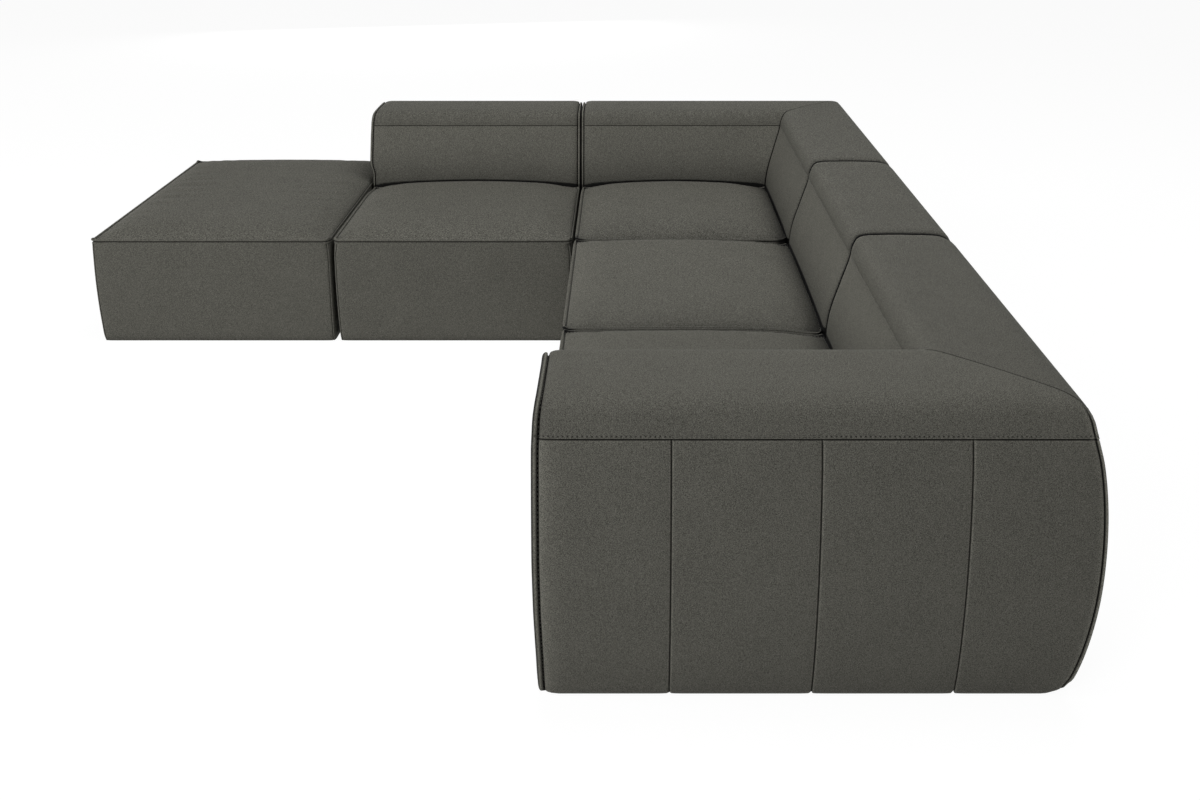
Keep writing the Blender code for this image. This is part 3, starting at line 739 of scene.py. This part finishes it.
def seat_insets(module, inset, joint=0.0):
    """An inset for each side: a share of it under a full crown, and more of it at a joint."""
    shares = np.where(sides_in(FULL_SIDES, module), FULL_SIDE_SHARE, 1.0)
    free = FREE_SIDE_INSET * sides_in(FREE_SIDES, module)
    return inset * shares + joint * sides_in(JOINED_SIDES, module) + free


def side_insets(module, tuck):
    """Tuck of each side of a seat: small where another module stands against it."""
    insets = seat_insets(module, tuck)
    free = tuck * FREE_TUCK_CUT * sides_in(FREE_SIDES, module)
    joined = insets * JOINT_TUCK_SHARE + JOINT_SIDE_INSET
    return np.where(sides_in(JOINED_SIDES, module), joined, insets - free)


def corner_radii(module, radii):
    """Radius of each corner: the second one where another module stands beside it."""
    joined = sides_in(JOINED_SIDES, module)
    return np.where(joined | np.roll(joined, 1), radii[1], radii[0])


def seat_shares(length):
    """Shares along a side: close together at both corners."""
    steps = [place * MM for place, _, _ in SIDE_WELT]
    return stations(length, PANEL_STEP, [(0.0, steps), (length, [-step for step in steps])]) / length


def seat_columns(module, across, down):
    """Side of each column round a seat, its nearest corner, and how far that corner is."""
    parts = [across[:-1], down[:-1]] * 2
    side = np.repeat(range(4), [len(part) for part in parts])
    share = np.concatenate(parts)
    length = np.array([module.seat_width, module.seat_depth] * 2)[side]
    return side, (side + (share >= 0.5)) % 4, np.minimum(share, 1 - share) * length


def crown(module, x, y):
    """Height of the crowned top over its edge, from 0 to 1."""
    front, right, back, left = seat_insets(module, TOP_GROOVE_INSET, JOINT_INSET)
    right_contact, back_contact = CONTACT_SHARES[module.name]
    spans = (x - left, module.seat_width - right - x, y - front, module.seat_depth - back - y)
    height = np.ones(np.broadcast(x, y).shape)
    for distance, contact in zip(spans, (0, right_contact, 0, back_contact)):
        if contact:
            rise = contact * (1 - np.exp(-distance / CONTACT_SOFTNESS))
            rise += (1 - contact) * (1 - np.exp(-distance / WALL_SOFTNESS))
        else:
            rise = 1 - np.exp(-distance / EDGE_SOFTNESS)
        height = height * rise
    from_side, from_end = np.minimum(*spans[:2]), np.minimum(*spans[2:])
    corner = np.hypot(from_side, from_end)
    reach = CORNER_REACH
    if back_contact:
        reach += (WALL_CORNER_REACH - CORNER_REACH) * smooth_step(0.2, 1.0, y / module.seat_depth)
    height = height * (1 - CORNER_DIP * np.exp(-((corner / reach) ** 1.2)))
    fold = (from_side - from_end) / math.sqrt(2)
    crease = bell(fold, 0.008) - 0.7 * bell(np.abs(fold) - 0.018, 0.01)
    return height - CORNER_FOLD * crease * bell(corner - 0.05, 0.045)


def edge_drop(module, x, y):
    """How far a seat's edge sinks near the two ends of its back wall."""
    distance = np.hypot(np.minimum(x, module.seat_width - x), module.seat_depth - y)
    return WALL_CORNER_DROP * bool(module.walls) * bell(distance, DROP_REACH)


def resample(values, old, new):
    """Smooth values between evenly spaced places, along the first axis."""
    place = np.clip((new - old[0]) / (old[1] - old[0]), 0, len(old) - 1.000001)
    index = place.astype(int)
    t = (place - index)[:, None]
    padded = np.concatenate([2 * values[:1] - values[1:2], values, 2 * values[-1:] - values[-2:-1]])
    a, b, c, d = (padded[index + shift] for shift in range(4))
    return b + 0.5 * t * (c - a + t * (2 * a - 5 * b + 4 * c - d + t * (3 * (b - c) + d - a)))


def blown_leather(x, y, height):
    """Rise of a seat's leather over its plain crown, from a short cloth simulation of its panel.

    The panel is pinned along its seam and cut a little too large, so that it wrinkles at the
    corners as it is blown up. Its folds and its fullness are then capped.
    """
    count = PANEL_POINTS
    coarse_x, coarse_y = np.linspace(x[0], x[-1], count), np.linspace(y[0], y[-1], count)
    start = height(coarse_x, coarse_y)
    grid = np.stack(np.broadcast_arrays(coarse_x, coarse_y[:, None], start), axis=-1)
    mesh = bpy.data.meshes.new("panel")
    mesh.from_pydata([tuple(point) for point in grid.reshape(-1, 3)], [], grid_faces(0, count, count))
    panel = add_object("panel", mesh)
    numbers = np.arange(count * count).reshape(count, count)
    panel.vertex_groups.new(name="seam").add(border(numbers).tolist(), 1.0, "REPLACE")
    cloth = panel.modifiers.new("leather", "CLOTH")
    cloth.settings.effector_weights.gravity = 0
    for setting, value in {
        "quality": 6, "mass": 0.4, "tension_stiffness": 25, "compression_stiffness": 25, "shear_stiffness": 8,
        "bending_stiffness": 0.6, "vertex_group_mass": "seam", "shrink_min": -SLACK, "use_pressure": True,
        "uniform_pressure_force": PRESSURE,
    }.items():
        setattr(cloth.settings, setting, value)
    cloth.point_cache.frame_start, cloth.point_cache.frame_end = 1, PANEL_FRAMES
    for frame_number in range(1, PANEL_FRAMES + 1):
        bpy.context.scene.frame_set(frame_number)
    bpy.ops.object.select_all(action="DESELECT")
    bpy.context.view_layer.objects.active = panel
    bpy.ops.object.modifier_apply(modifier=cloth.name)
    moved = np.zeros(count * count * 3)
    panel.data.vertices.foreach_get("co", moved)
    rise = moved.reshape(count, count, 3)[..., 2] - start
    bpy.data.objects.remove(panel, do_unlink=True)
    bpy.context.scene.frame_set(1)
    broad = rise.copy()
    for _ in range(12):
        sides = broad[:-2, 1:-1] + broad[2:, 1:-1] + broad[1:-1, :-2] + broad[1:-1, 2:]
        broad[1:-1, 1:-1] = broad[1:-1, 1:-1] / 2 + sides / 8
    folds = rise - broad
    rise = FULLNESS * broad / broad.max() + FOLD_LIMIT * np.tanh(folds / FOLD_LIMIT)
    return resample(resample(rise, coarse_y, y).T, coarse_x, x).T


def seat_side_rows():
    """Rows of the side panel, from the hem to the welt: distance out, and height."""
    rise = EDGE_HEIGHT + TOP_WELT[0][1] * MM - HEM_HEIGHT
    outline = smooth_line([(-SIDE_TUCK * tuck, HEM_HEIGHT + rise * up) for tuck, up in SIDE_SHARES])
    length = arc_lengths(outline)[-1]
    places = stations(length, PANEL_STEP, [(length, [-step for step in CLOSE_STEPS])])
    rows = along_line(places, outline)
    drawn = TOP_WELT[0][0] * MM - rows[-1, 0]
    rows[:, 0] += drawn * np.exp(-(length - places) / 0.014)
    return rows[:-1]


def seat_sides(module, across, down):
    """Rows of points up a seat's sides and over its welt, and the painted shade and light on each."""
    side, corner, near_corner = seat_columns(module, across, down)
    ears = bell(near_corner, 0.012)
    # Painted shadow in the joints of the column, deepest round their corners
    sunk = sides_in(JOINT_SHADOW_SIDES, module)
    in_joint = DEEPEST_SHADE * (sunk[corner] | sunk[corner - 1]) * np.exp(-((near_corner / 0.045) ** 4))
    sunk, shaded = sunk[side], sides_in(SHADED_SIDES, module)[side]
    foot_radii, top_radii = corner_radii(module, FOOT_RADII), corner_radii(module, TOP_RADII)
    welt, shade = read_table(near_corner, SIDE_WELT)
    rows, tone = [], []
    for out, height in seat_side_rows():
        rising = smooth_step(EDGE_HEIGHT - 60 * MM, EDGE_HEIGHT - 9 * MM, height)
        fading = 1 - smooth_step(EDGE_HEIGHT - 16 * MM, EDGE_HEIGHT - 9 * MM, height)
        radii = foot_radii * (1 - rising) + top_radii * rising
        plan, normals = ring(module, side_insets(module, -out), radii, across, down)
        plan = plan + normals * (welt * fading)[:, None]
        rows.append(np.column_stack([plan, np.full(len(plan), height)]))
        # Painted light just under the welt
        painted_light = 0.2 * math.exp(-(EDGE_HEIGHT - 9.5 * MM - height) / 0.025)
        tone.append(np.maximum(shade * fading - painted_light, in_joint))
    for out, up, shade in TOP_WELT:
        radii = top_radii * (1 + out / WELT_CORNER_REACH)
        plan, normals = ring(module, seat_insets(module, -out * MM, JOINT_INSET), radii, across, down)
        plan = plan + normals * (ears * 1.2 * MM)[:, None]
        lift = ears * smooth_step(-7, 5, up) * 5 * MM
        rows.append(np.column_stack([plan, EDGE_HEIGHT + up * MM + lift]))
        # Painted shade on welts beside a joint, painted shadow at the joints' corners, and deepest painted
        # shade along a wall
        shade = np.where(sunk, max(shade, JOINT_WELT_SHADE), shade)
        in_dark = in_joint * (up < SHADED_WELT_TOP[module.name == "corner"])
        tone.append(np.where(shaded, DEEPEST_SHADE, np.maximum(shade, in_dark)))
    points = np.array(rows)
    sinking = smooth_step(EDGE_HEIGHT - 0.12, EDGE_HEIGHT - 0.01, points[..., 2])
    points[..., 2] -= sinking * edge_drop(module, points[..., 0], points[..., 1])
    return points, np.array(tone)


def border(grid):
    """The rim of a grid, once round from its first corner."""
    return np.concatenate([grid[0, :-1], grid[:-1, -1], grid[-1, :0:-1], grid[:0:-1, 0]])


def seat_top(module, across, down):
    """Grid of points over a seat's top inside its welt, and the seams that the material reads."""
    width, depth = module.seat_width, module.seat_depth
    front, right, back, left = seat_insets(module, TOP_GROOVE_INSET, JOINT_INSET)
    x = left + across * (width - left - right)
    y = front + down * (depth - front - back)
    edge = EDGE_HEIGHT + TOP_GROOVE_RISE

    def plain_height(x, y):
        y = y[:, None]
        return edge + (SEAT_TOP - edge) * crown(module, x, y) - edge_drop(module, x, y)

    top = plain_height(x, y) + blown_leather(x, y, plain_height)
    y = y[:, None]
    spans = dict(zip(SIDES, (y - front, width - right - x, depth - back - y, x - left)))
    from_side, from_end = np.minimum(spans["left"], spans["right"]), np.minimum(spans["front"], spans["back"])
    from_groove = np.minimum(from_side, from_end)
    # Painted shade in the groove with painted highlights on its rims, and painted shade and light beside the
    # sides
    tone = 1.3 * line_shading(from_groove, 2.2 * MM)
    for table, gain, reach, sharpness, even in SIDE_SHADING:
        for side in table.get(module.name, ()):
            tone += gain * np.exp(-((spans[side] / reach) ** sharpness)) + even
    seams = np.stack([np.where(from_side < from_end, y, x), from_groove - 0.5 * MM, tone], axis=-1)
    return np.stack(np.broadcast_arrays(x, y, top), axis=-1), seams


def make_seat_cover(module, material):
    """Leather over a seat: tucked sides, welts up the corners and round the top, and a crown."""
    across, down = seat_shares(module.seat_width), seat_shares(module.seat_depth)
    sides, side_shading = seat_sides(module, across, down)
    top, top_seams = seat_top(module, across, down)
    rows, columns = sides.shape[:2]
    first = rows * columns
    numbers = first + np.arange(top.shape[0] * top.shape[1]).reshape(top.shape[:2])
    faces = grid_faces(0, rows, columns, closed=True) + grid_faces(first, *top.shape[:2])
    faces += strip_faces(list(range(first - columns, first)), border(numbers).tolist())
    points = placed(module, np.concatenate([sides.reshape(-1, 3), top.reshape(-1, 3)]))
    inside = seat_block(module, across, down, HEM_HEIGHT, CLEARANCE)
    # The hem hangs lower on the sides that show than on those against a wall
    side, _, near_corner = seat_columns(module, across, down)
    shown = np.array([True, "side" not in module.walls, "back" not in module.walls, True])
    drop = HEM_DROP * (shown[side] & ((near_corner > 0) | shown[side - 1]))
    points[:columns, 2] -= drop
    inside[0][:columns, 2] -= drop
    points, faces = close_shell((points, faces, list(range(columns))), inside)
    seams = np.tile((0.0, 1.0, 0.0), (first, 1))
    # Painted shade and light up the sides and over the welt
    seams[:, 2] = side_shading.ravel()
    seams = np.concatenate([seams, top_seams.reshape(-1, 3)])
    piece = make_piece(module, "_seat_leather", points, faces, material, "leather", seams)
    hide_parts(module.name + "_seat_cover")
    return top


def seat_block(module, across, down, bottom, spare):
    """Skin of the crowned block inside a seat's padding, open at its foot."""
    half = min(module.seat_width, module.seat_depth) / 2
    inset = SIDE_PADDING - spare
    levels = [(inset, bottom, 0.01), (inset, SEAM_HEIGHT - TOP_PADDING + spare, 0.01)]
    for share in BLOCK_SHARES:
        height = SEAM_HEIGHT + SEAT_CROWN * (1 - (1 - share) ** FOAM_FULLNESS) - TOP_PADDING + spare
        levels.append((half * share, height, 0.03 + half * share / 2))
    rows = []
    for set_in, height, radius in levels:
        front, right, back, left = insets = seat_insets(module, set_in)
        room = min(module.seat_width - right - left, module.seat_depth - front - back)
        plan, _ = ring(module, insets, min(radius, room * 0.4), across, down)
        rows.append(np.column_stack([plan, np.full(len(plan), height)]))
    columns = len(plan)
    last = (len(rows) - 1) * columns
    faces = grid_faces(0, len(rows), columns, closed=True) + [tuple(range(last, last + columns))]
    return placed(module, np.concatenate(rows)), faces, list(range(columns))


# Foam


def make_seat_foam(module, material):
    """The crowned foam block under a seat's leather."""
    across = stations(module.seat_width, 0.05) / module.seat_width
    down = stations(module.seat_depth, 0.05) / module.seat_depth
    points, faces, loop = seat_block(module, across, down, SEAT_FRAME_HEIGHT + CLEARANCE, 0.0)
    piece = make_piece(module, "_seat_foam_block", points, faces + [tuple(reversed(loop))], material, "foam")
    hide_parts(module.name + "_seat_foam")


def make_back_foam(module, material):
    """The foam cap over a wall's timber frame."""
    places = stations(wall_length(module), 0.06)
    inset = WALL_PADDING + CLEARANCE
    outer = plain_wall_skin(module, places, inset_profile(inset), inset, ring_count=3)
    heights = np.linspace(HEM_HEIGHT, BACK_FRAME_TOP + CLEARANCE, 4)
    section = [(BACK_FRAME_OUTER - CLEARANCE, height) for height in heights]
    section += [(BACK_FRAME_INNER + CLEARANCE, height) for height in heights[::-1]]
    inner = plain_wall_skin(module, places, np.array(section), BACK_FRAME_END - CLEARANCE, ring_count=3)
    piece = make_piece(module, "_back_foam_cap", *close_shell(outer, inner), material, "foam")
    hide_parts(module.name + "_back_foam")


# Stitches


def make_stitches(name, module, path, material):
    """A row of thread along a path on the leather: one stitch, repeated and bent along it."""
    length = arc_lengths(path)[-1]
    count = int(length / STITCH_PITCH)
    bpy.ops.object.select_all(action="DESELECT")
    bpy.ops.mesh.primitive_uv_sphere_add(segments=6, ring_count=6, radius=1.0)
    row = bpy.context.object
    row.name = name
    bpy.ops.object.mode_set(mode="EDIT")
    bpy.ops.mesh.select_all(action="SELECT")
    bpy.ops.transform.rotate(value=math.pi / 2, orient_axis="Y", center_override=(0, 0, 0))
    bpy.ops.transform.resize(value=(STITCH_LENGTH / 2, THREAD, THREAD), center_override=(0, 0, 0))
    bpy.ops.transform.translate(value=(STITCH_PITCH / 2, 0, 0))
    bpy.ops.object.mode_set(mode="OBJECT")
    curve = bpy.data.curves.new(name + "_path", "CURVE")
    curve.dimensions = "3D"
    spline = curve.splines.new("POLY")
    spline.points.add(len(path) - 1)
    for point, place in zip(spline.points, path):
        point.co = (*place, 1.0)
    guide = add_object(name + "_path", curve)
    repeat = row.modifiers.new("repeat", "ARRAY")
    repeat.count = count
    repeat.use_relative_offset, repeat.use_constant_offset = False, True
    repeat.constant_offset_displace = (length / count, 0, 0)
    follow = row.modifiers.new("follow", "CURVE")
    follow.object = guide
    bpy.ops.object.modifier_apply(modifier=repeat.name)
    bpy.ops.object.modifier_apply(modifier=follow.name)
    bpy.data.objects.remove(guide, do_unlink=True)
    row.data.materials.append(material)
    row.data.shade_smooth()
    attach(row, module.name + "_module")


def stitch_wall(module, band, grid, outer_seam, material):
    """Top stitches over a wall's outer seam, leg by leg, and stitches round its end welts."""
    row = int(np.argmin(np.abs(outer_seam - TOP_STITCH_DISTANCE)))
    from_end = grid.from_end[row]
    legs = [grid.on_back, ~grid.on_back] if grid.mitred else [grid.on_back]
    for number, leg in enumerate(legs):
        keep = leg & (from_end > 12 * MM) & (grid.from_mitre[row] > 7 * MM)
        path = placed(module, band[row, keep] + grid.normals[row, keep] * THREAD * 0.5)
        make_stitches(f"{module.name}_top_stitches_{number}", module, path, material)
    nearest = np.argmin(np.abs(from_end[:len(from_end) // 2] - END_GROOVE * welt_scale(module)))
    for number, column in enumerate((nearest, -1 - nearest)):
        path = band[WELT_STITCH_ROWS, column] + grid.normals[WELT_STITCH_ROWS, column] * THREAD
        make_stitches(f"{module.name}_welt_stitches_{number}", module, placed(module, path), material)


# Materials


def add_node(tree, kind, settings=None, **links):
    """Adds a node; a link is a value, or another node's output, for the input of that name."""
    node = tree.nodes.new(kind)
    for key, value in (settings or {}).items():
        setattr(node, key, value)
    for key, value in links.items():
        socket = node.inputs[int(key[1:]) if key.startswith("i") else key.replace("_", " ").title()]
        if isinstance(value, bpy.types.NodeSocket):
            tree.links.new(value, socket)
        else:
            socket.default_value = value
    return node


def maths(tree, operation, *values):
    values = {f"i{number}": value for number, value in enumerate(values)}
    return add_node(tree, "ShaderNodeMath", {"operation": operation}, **values).outputs[0]


def multiply(tree, first, *others):
    for other in others:
        first = maths(tree, "MULTIPLY", first, other)
    return first


def map_range(tree, value, low, high, to_low=0.0, to_high=1.0):
    ends = {"from_min": low, "from_max": high, "to_min": to_low, "to_max": to_high}
    return add_node(tree, "ShaderNodeMapRange", value=value, **ends).outputs[0]


def noise(tree, vector, scale, detail):
    return add_node(tree, "ShaderNodeTexNoise", vector=vector, scale=scale, detail=detail).outputs[0]


def mapped_place(tree, **turn):
    """Place on the object, turned or stretched."""
    place = add_node(tree, "ShaderNodeTexCoord").outputs["Object"]
    return add_node(tree, "ShaderNodeMapping", vector=place, **turn).outputs[0]


def make_grain_group():
    """Mottled tone and pebbled height of a surface, with the sizes of its grains as inputs."""
    group = bpy.data.node_groups.new("grain", "ShaderNodeTree")
    group.interface.new_socket(name="Vector", in_out="INPUT", socket_type="NodeSocketVector")
    for name, start in (("Blotches", 9.0), ("Mottle", 110.0), ("Pebbles", 650.0), ("Contrast", 1.0)):
        socket = group.interface.new_socket(name=name, in_out="INPUT", socket_type="NodeSocketFloat")
        socket.default_value = start
    for name in ("Tone", "Height"):
        group.interface.new_socket(name=name, in_out="OUTPUT", socket_type="NodeSocketFloat")
    given = add_node(group, "NodeGroupInput").outputs
    turned = {"vector": given["Vector"], "rotation": (0.62, 0.37, 0.83)}
    vector = add_node(group, "ShaderNodeMapping", **turned).outputs[0]
    wide, fine = noise(group, vector, given["Blotches"], 2.0), noise(group, vector, given["Mottle"], 0.0)
    pebbles = add_node(group, "ShaderNodeTexVoronoi", vector=vector, scale=given["Pebbles"]).outputs[0]
    wide_tone = maths(group, "MULTIPLY_ADD", wide, 0.16, 0.92)
    fine_tone = multiply(group, maths(group, "SUBTRACT", fine, 0.5), given["Contrast"])
    tone = maths(group, "MAXIMUM", maths(group, "ADD", wide_tone, fine_tone), 0.2)
    height = maths(group, "MULTIPLY_ADD", fine, 0.6, multiply(group, pebbles, 0.4))
    add_node(group, "NodeGroupOutput", tone=tone, height=height)
    return group


def grained_material(group, name, colour, roughness, sizes, bump, metallic=0.0):
    """A material whose tone, roughness and bump come from the grain group."""
    material = bpy.data.materials.new(name)
    material.use_nodes = True
    tree = material.node_tree
    shader = tree.nodes["Principled BSDF"].inputs
    shader["Metallic"].default_value = metallic
    place = add_node(tree, "ShaderNodeTexCoord").outputs["Object"]
    sizes = dict(zip(("blotches", "mottle", "pebbles", "contrast"), sizes))
    grain = add_node(tree, "ShaderNodeGroup", {"node_tree": group}, vector=place, **sizes).outputs
    mix = add_node(tree, "ShaderNodeMix", {"data_type": "RGBA", "blend_type": "MULTIPLY"},
                   i0=1.0, i6=(*colour, 1.0), i7=grain["Tone"])
    tree.links.new(mix.outputs[2], shader["Base Color"])
    raised = add_node(tree, "ShaderNodeBump", strength=bump[0], distance=bump[1], height=grain["Height"])
    tree.links.new(raised.outputs["Normal"], shader["Normal"])
    rough = maths(tree, "MULTIPLY_ADD", grain["Tone"], -0.12, roughness + 0.12)
    tree.links.new(rough, shader["Roughness"])
    return material, tree, grain["Tone"], mix.inputs[7]


def make_flecks(tree):
    """Tone of the coarser hide of the back row: strongest on tops, and fading out to the near end."""
    flecks = noise(tree, mapped_place(tree, rotation=(0.21, 0.74, 0.45)), 230.0, 0.0)
    place = add_node(tree, "ShaderNodeTexCoord").outputs["Object"]
    far = add_node(tree, "ShaderNodeSeparateXYZ", vector=place).outputs["Y"]
    facing = add_node(tree, "ShaderNodeNewGeometry").outputs["Normal"]
    level = add_node(tree, "ShaderNodeSeparateXYZ", vector=facing).outputs["Z"]
    fade = map_range(tree, far, -1.2, 0.4, 0.0, 1.6)
    size = multiply(tree, fade, map_range(tree, level, 0.3, 0.9, 0.4, 1.0))
    return maths(tree, "ADD", multiply(tree, maths(tree, "SUBTRACT", flecks, 0.5), size), 1.0)


def make_leather(group):
    """Nubuck-like leather, with painted shade in its seams and painted highlights along its welts, and needle
    pits.
    """
    material, tree, grain, mixed = grained_material(
        group, "grey_leather", LEATHER_COLOUR, 0.8, (8.0, 600.0, 900.0, 2.1), (0.3, 0.0006)
    )
    seams = add_node(tree, "ShaderNodeAttribute", {"attribute_name": "seams"}).outputs["Vector"]
    along, across, tone = add_node(tree, "ShaderNodeSeparateXYZ", vector=seams).outputs
    holes = map_range(tree, maths(tree, "SINE", multiply(tree, along, 2 * math.pi / STITCH_PITCH)), 0.0, 0.5)
    line = map_range(tree, maths(tree, "ABSOLUTE", across), 1.3 * MM, 2.5 * MM, 1.0, 0.0)
    pits = maths(tree, "MULTIPLY_ADD", multiply(tree, holes, line), -0.65, 1.0)
    # Tone from the seams attribute: painted shade above 0, painted light below 0
    dark = maths(tree, "MINIMUM", maths(tree, "MAXIMUM", tone, 0.0), 1.0)
    dark = maths(tree, "MULTIPLY_ADD", dark, -0.99, 1.0)
    light = maths(tree, "MAXIMUM", multiply(tree, tone, -1.0), 0.0)
    light = maths(tree, "MULTIPLY_ADD", light, 0.8, 1.0)
    shade = multiply(tree, dark, light, pits)
    tree.links.new(multiply(tree, grain, shade, make_flecks(tree)), mixed)
    tree.nodes["Principled BSDF"].inputs["Specular IOR Level"].default_value = 0.12
    return material


def make_timber(group):
    """Planed softwood, with its rings drawn out along the rails."""
    material, tree, grain, mixed = grained_material(
        group, "pale_timber", (0.55, 0.38, 0.22), 0.62, (6, 160, 600), (0.15, 0.0005)
    )
    vector = mapped_place(tree, scale=(1.0, 1.0, 7.0))
    size = {"scale": 14.0, "distortion": 7.0, "detail": 3.0}
    rings = add_node(tree, "ShaderNodeTexWave", {"wave_type": "RINGS"}, vector=vector, **size).outputs["Fac"]
    tree.links.new(multiply(tree, maths(tree, "MULTIPLY_ADD", rings, 0.3, 0.78), grain), mixed)
    return material


def make_materials():
    group = make_grain_group()
    made = {"leather": make_leather(group), "timber": make_timber(group)}
    for kind, *look in (
        ("thread", "grey_thread", (0.12, 0.118, 0.1), 0.6, (60, 900, 2500), (0.4, 0.0003)),
        ("foam", "cream_foam", (0.78, 0.72, 0.55), 0.95, (12, 260, 700), (0.6, 0.0015)),
        ("lining", "black_lining", (0.014, 0.014, 0.015), 0.9, (20, 500, 1400), (0.4, 0.0004)),
        ("felt", "grey_felt", (0.05, 0.05, 0.05), 0.95, (90, 900, 2200), (0.6, 0.0006)),
        ("steel", "zinc_steel", (0.62, 0.63, 0.65), 0.3, (30, 240, 900), (0.1, 0.0002), 1.0),
    ):
        made[kind] = grained_material(group, *look)[0]
    return made


# Floor, light and camera


def seen_plainly(tree):
    """1 for what the camera sees, straight or in a reflection, and 0 for the light it gives."""
    path = add_node(tree, "ShaderNodeLightPath").outputs
    seen = maths(tree, "MAXIMUM", path["Is Camera Ray"], path["Is Glossy Ray"])
    return maths(tree, "MAXIMUM", seen, path["Is Transmission Ray"])


def make_stage():
    """A white floor that keeps only a faint trace of the sofa's shadow."""
    bpy.ops.object.select_all(action="DESELECT")
    bpy.ops.mesh.primitive_plane_add(size=60)
    floor = bpy.context.object
    floor.name = "floor"
    material = bpy.data.materials.new("white_floor")
    material.use_nodes = True
    tree = material.node_tree
    shader = tree.nodes["Principled BSDF"]
    shader.inputs["Base Color"].default_value = (0.8, 0.8, 0.8, 1)
    shader.inputs["Roughness"].default_value = 0.9
    shader.inputs["Specular IOR Level"].default_value = 0.0
    glow = add_node(tree, "ShaderNodeEmission", strength=0.94).outputs[0]
    thin = add_node(tree, "ShaderNodeBsdfDiffuse", color=(0.12, 0.12, 0.12, 1)).outputs[0]
    both = add_node(tree, "ShaderNodeAddShader", i0=glow, i1=thin).outputs[0]
    mix = add_node(tree, "ShaderNodeMixShader", i0=seen_plainly(tree), i1=shader.outputs[0], i2=both)
    tree.links.new(mix.outputs[0], tree.nodes["Material Output"].inputs["Surface"])
    floor.data.materials.append(material)


def make_world():
    """Even pale light from all sides, and plain white behind the sofa."""
    world = bpy.context.scene.world = bpy.data.worlds.new("studio")
    world.use_nodes = True
    tree = world.node_tree
    tree.nodes.clear()
    soft, white = (
        add_node(tree, "ShaderNodeBackground", color=(1, 1, 1, 1), strength=strength).outputs[0]
        for strength in (WORLD_LIGHT, 1.0)
    )
    mix = add_node(tree, "ShaderNodeMixShader", i0=seen_plainly(tree), i1=soft, i2=white)
    add_node(tree, "ShaderNodeOutputWorld", surface=mix.outputs[0])


def make_lights():
    """Three soft boxes, and two weak fills behind and on the right that the camera doesn't see."""
    for name, place, target, size, power in LAMPS:
        light = bpy.data.lights.new(name, "AREA")
        light.shape = "RECTANGLE"
        light.size, light.size_y = size
        light.energy = power
        lamp = add_object(name, light)
        lamp.location = place
        lamp.rotation_euler = (Vector(target) - Vector(place)).to_track_quat("-Z", "Y").to_euler()
        if name.endswith("fill"):
            lamp.visible_camera = lamp.visible_glossy = False


def make_camera():
    """Looks along +Y from above the near end, with the lens shifted down to centre the sofa."""
    camera = bpy.data.cameras.new("camera")
    camera.lens = 38.33
    camera.shift_x, camera.shift_y = -0.0225, -0.2083
    camera.clip_end = 100
    viewer = add_object("camera", camera)
    viewer.location = (0.4831, -4.0104, 1.8025)
    viewer.rotation_euler = (math.radians(90 - CAMERA_DIP), 0, 0)
    bpy.context.scene.camera = viewer


# Assembly


def dress_module(module, materials):
    """A module's leather, foam and stitches."""
    top = make_seat_cover(module, materials["leather"])
    make_seat_foam(module, materials["foam"])
    path = placed(module, border(top) + np.array([0, 0, THREAD * 0.6]))
    make_stitches(module.name + "_seat_stitches", module, path, materials["thread"])
    if module.walls:
        cover = make_back_cover(module, materials["leather"])
        make_back_foam(module, materials["foam"])
        stitch_wall(module, *cover, materials["thread"])


def finish_frame(materials):
    """Gives the frame's own rigid nodes their materials."""
    kinds = {"_frame": "timber", "dust_cover": "lining", "_foot_": "felt", "_clip_": "steel"}
    for name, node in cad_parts.items():
        for part, finish in kinds.items():
            if part in name:
                for slot in node.material_slots:
                    slot.material = materials[finish]


def main():
    materials = make_materials()
    for module in MODULES:
        dress_module(module, materials)
    finish_frame(materials)
    make_stage()
    make_world()
    make_lights()
    make_camera()
    bpy.context.scene.view_settings.view_transform = "Standard"


main()
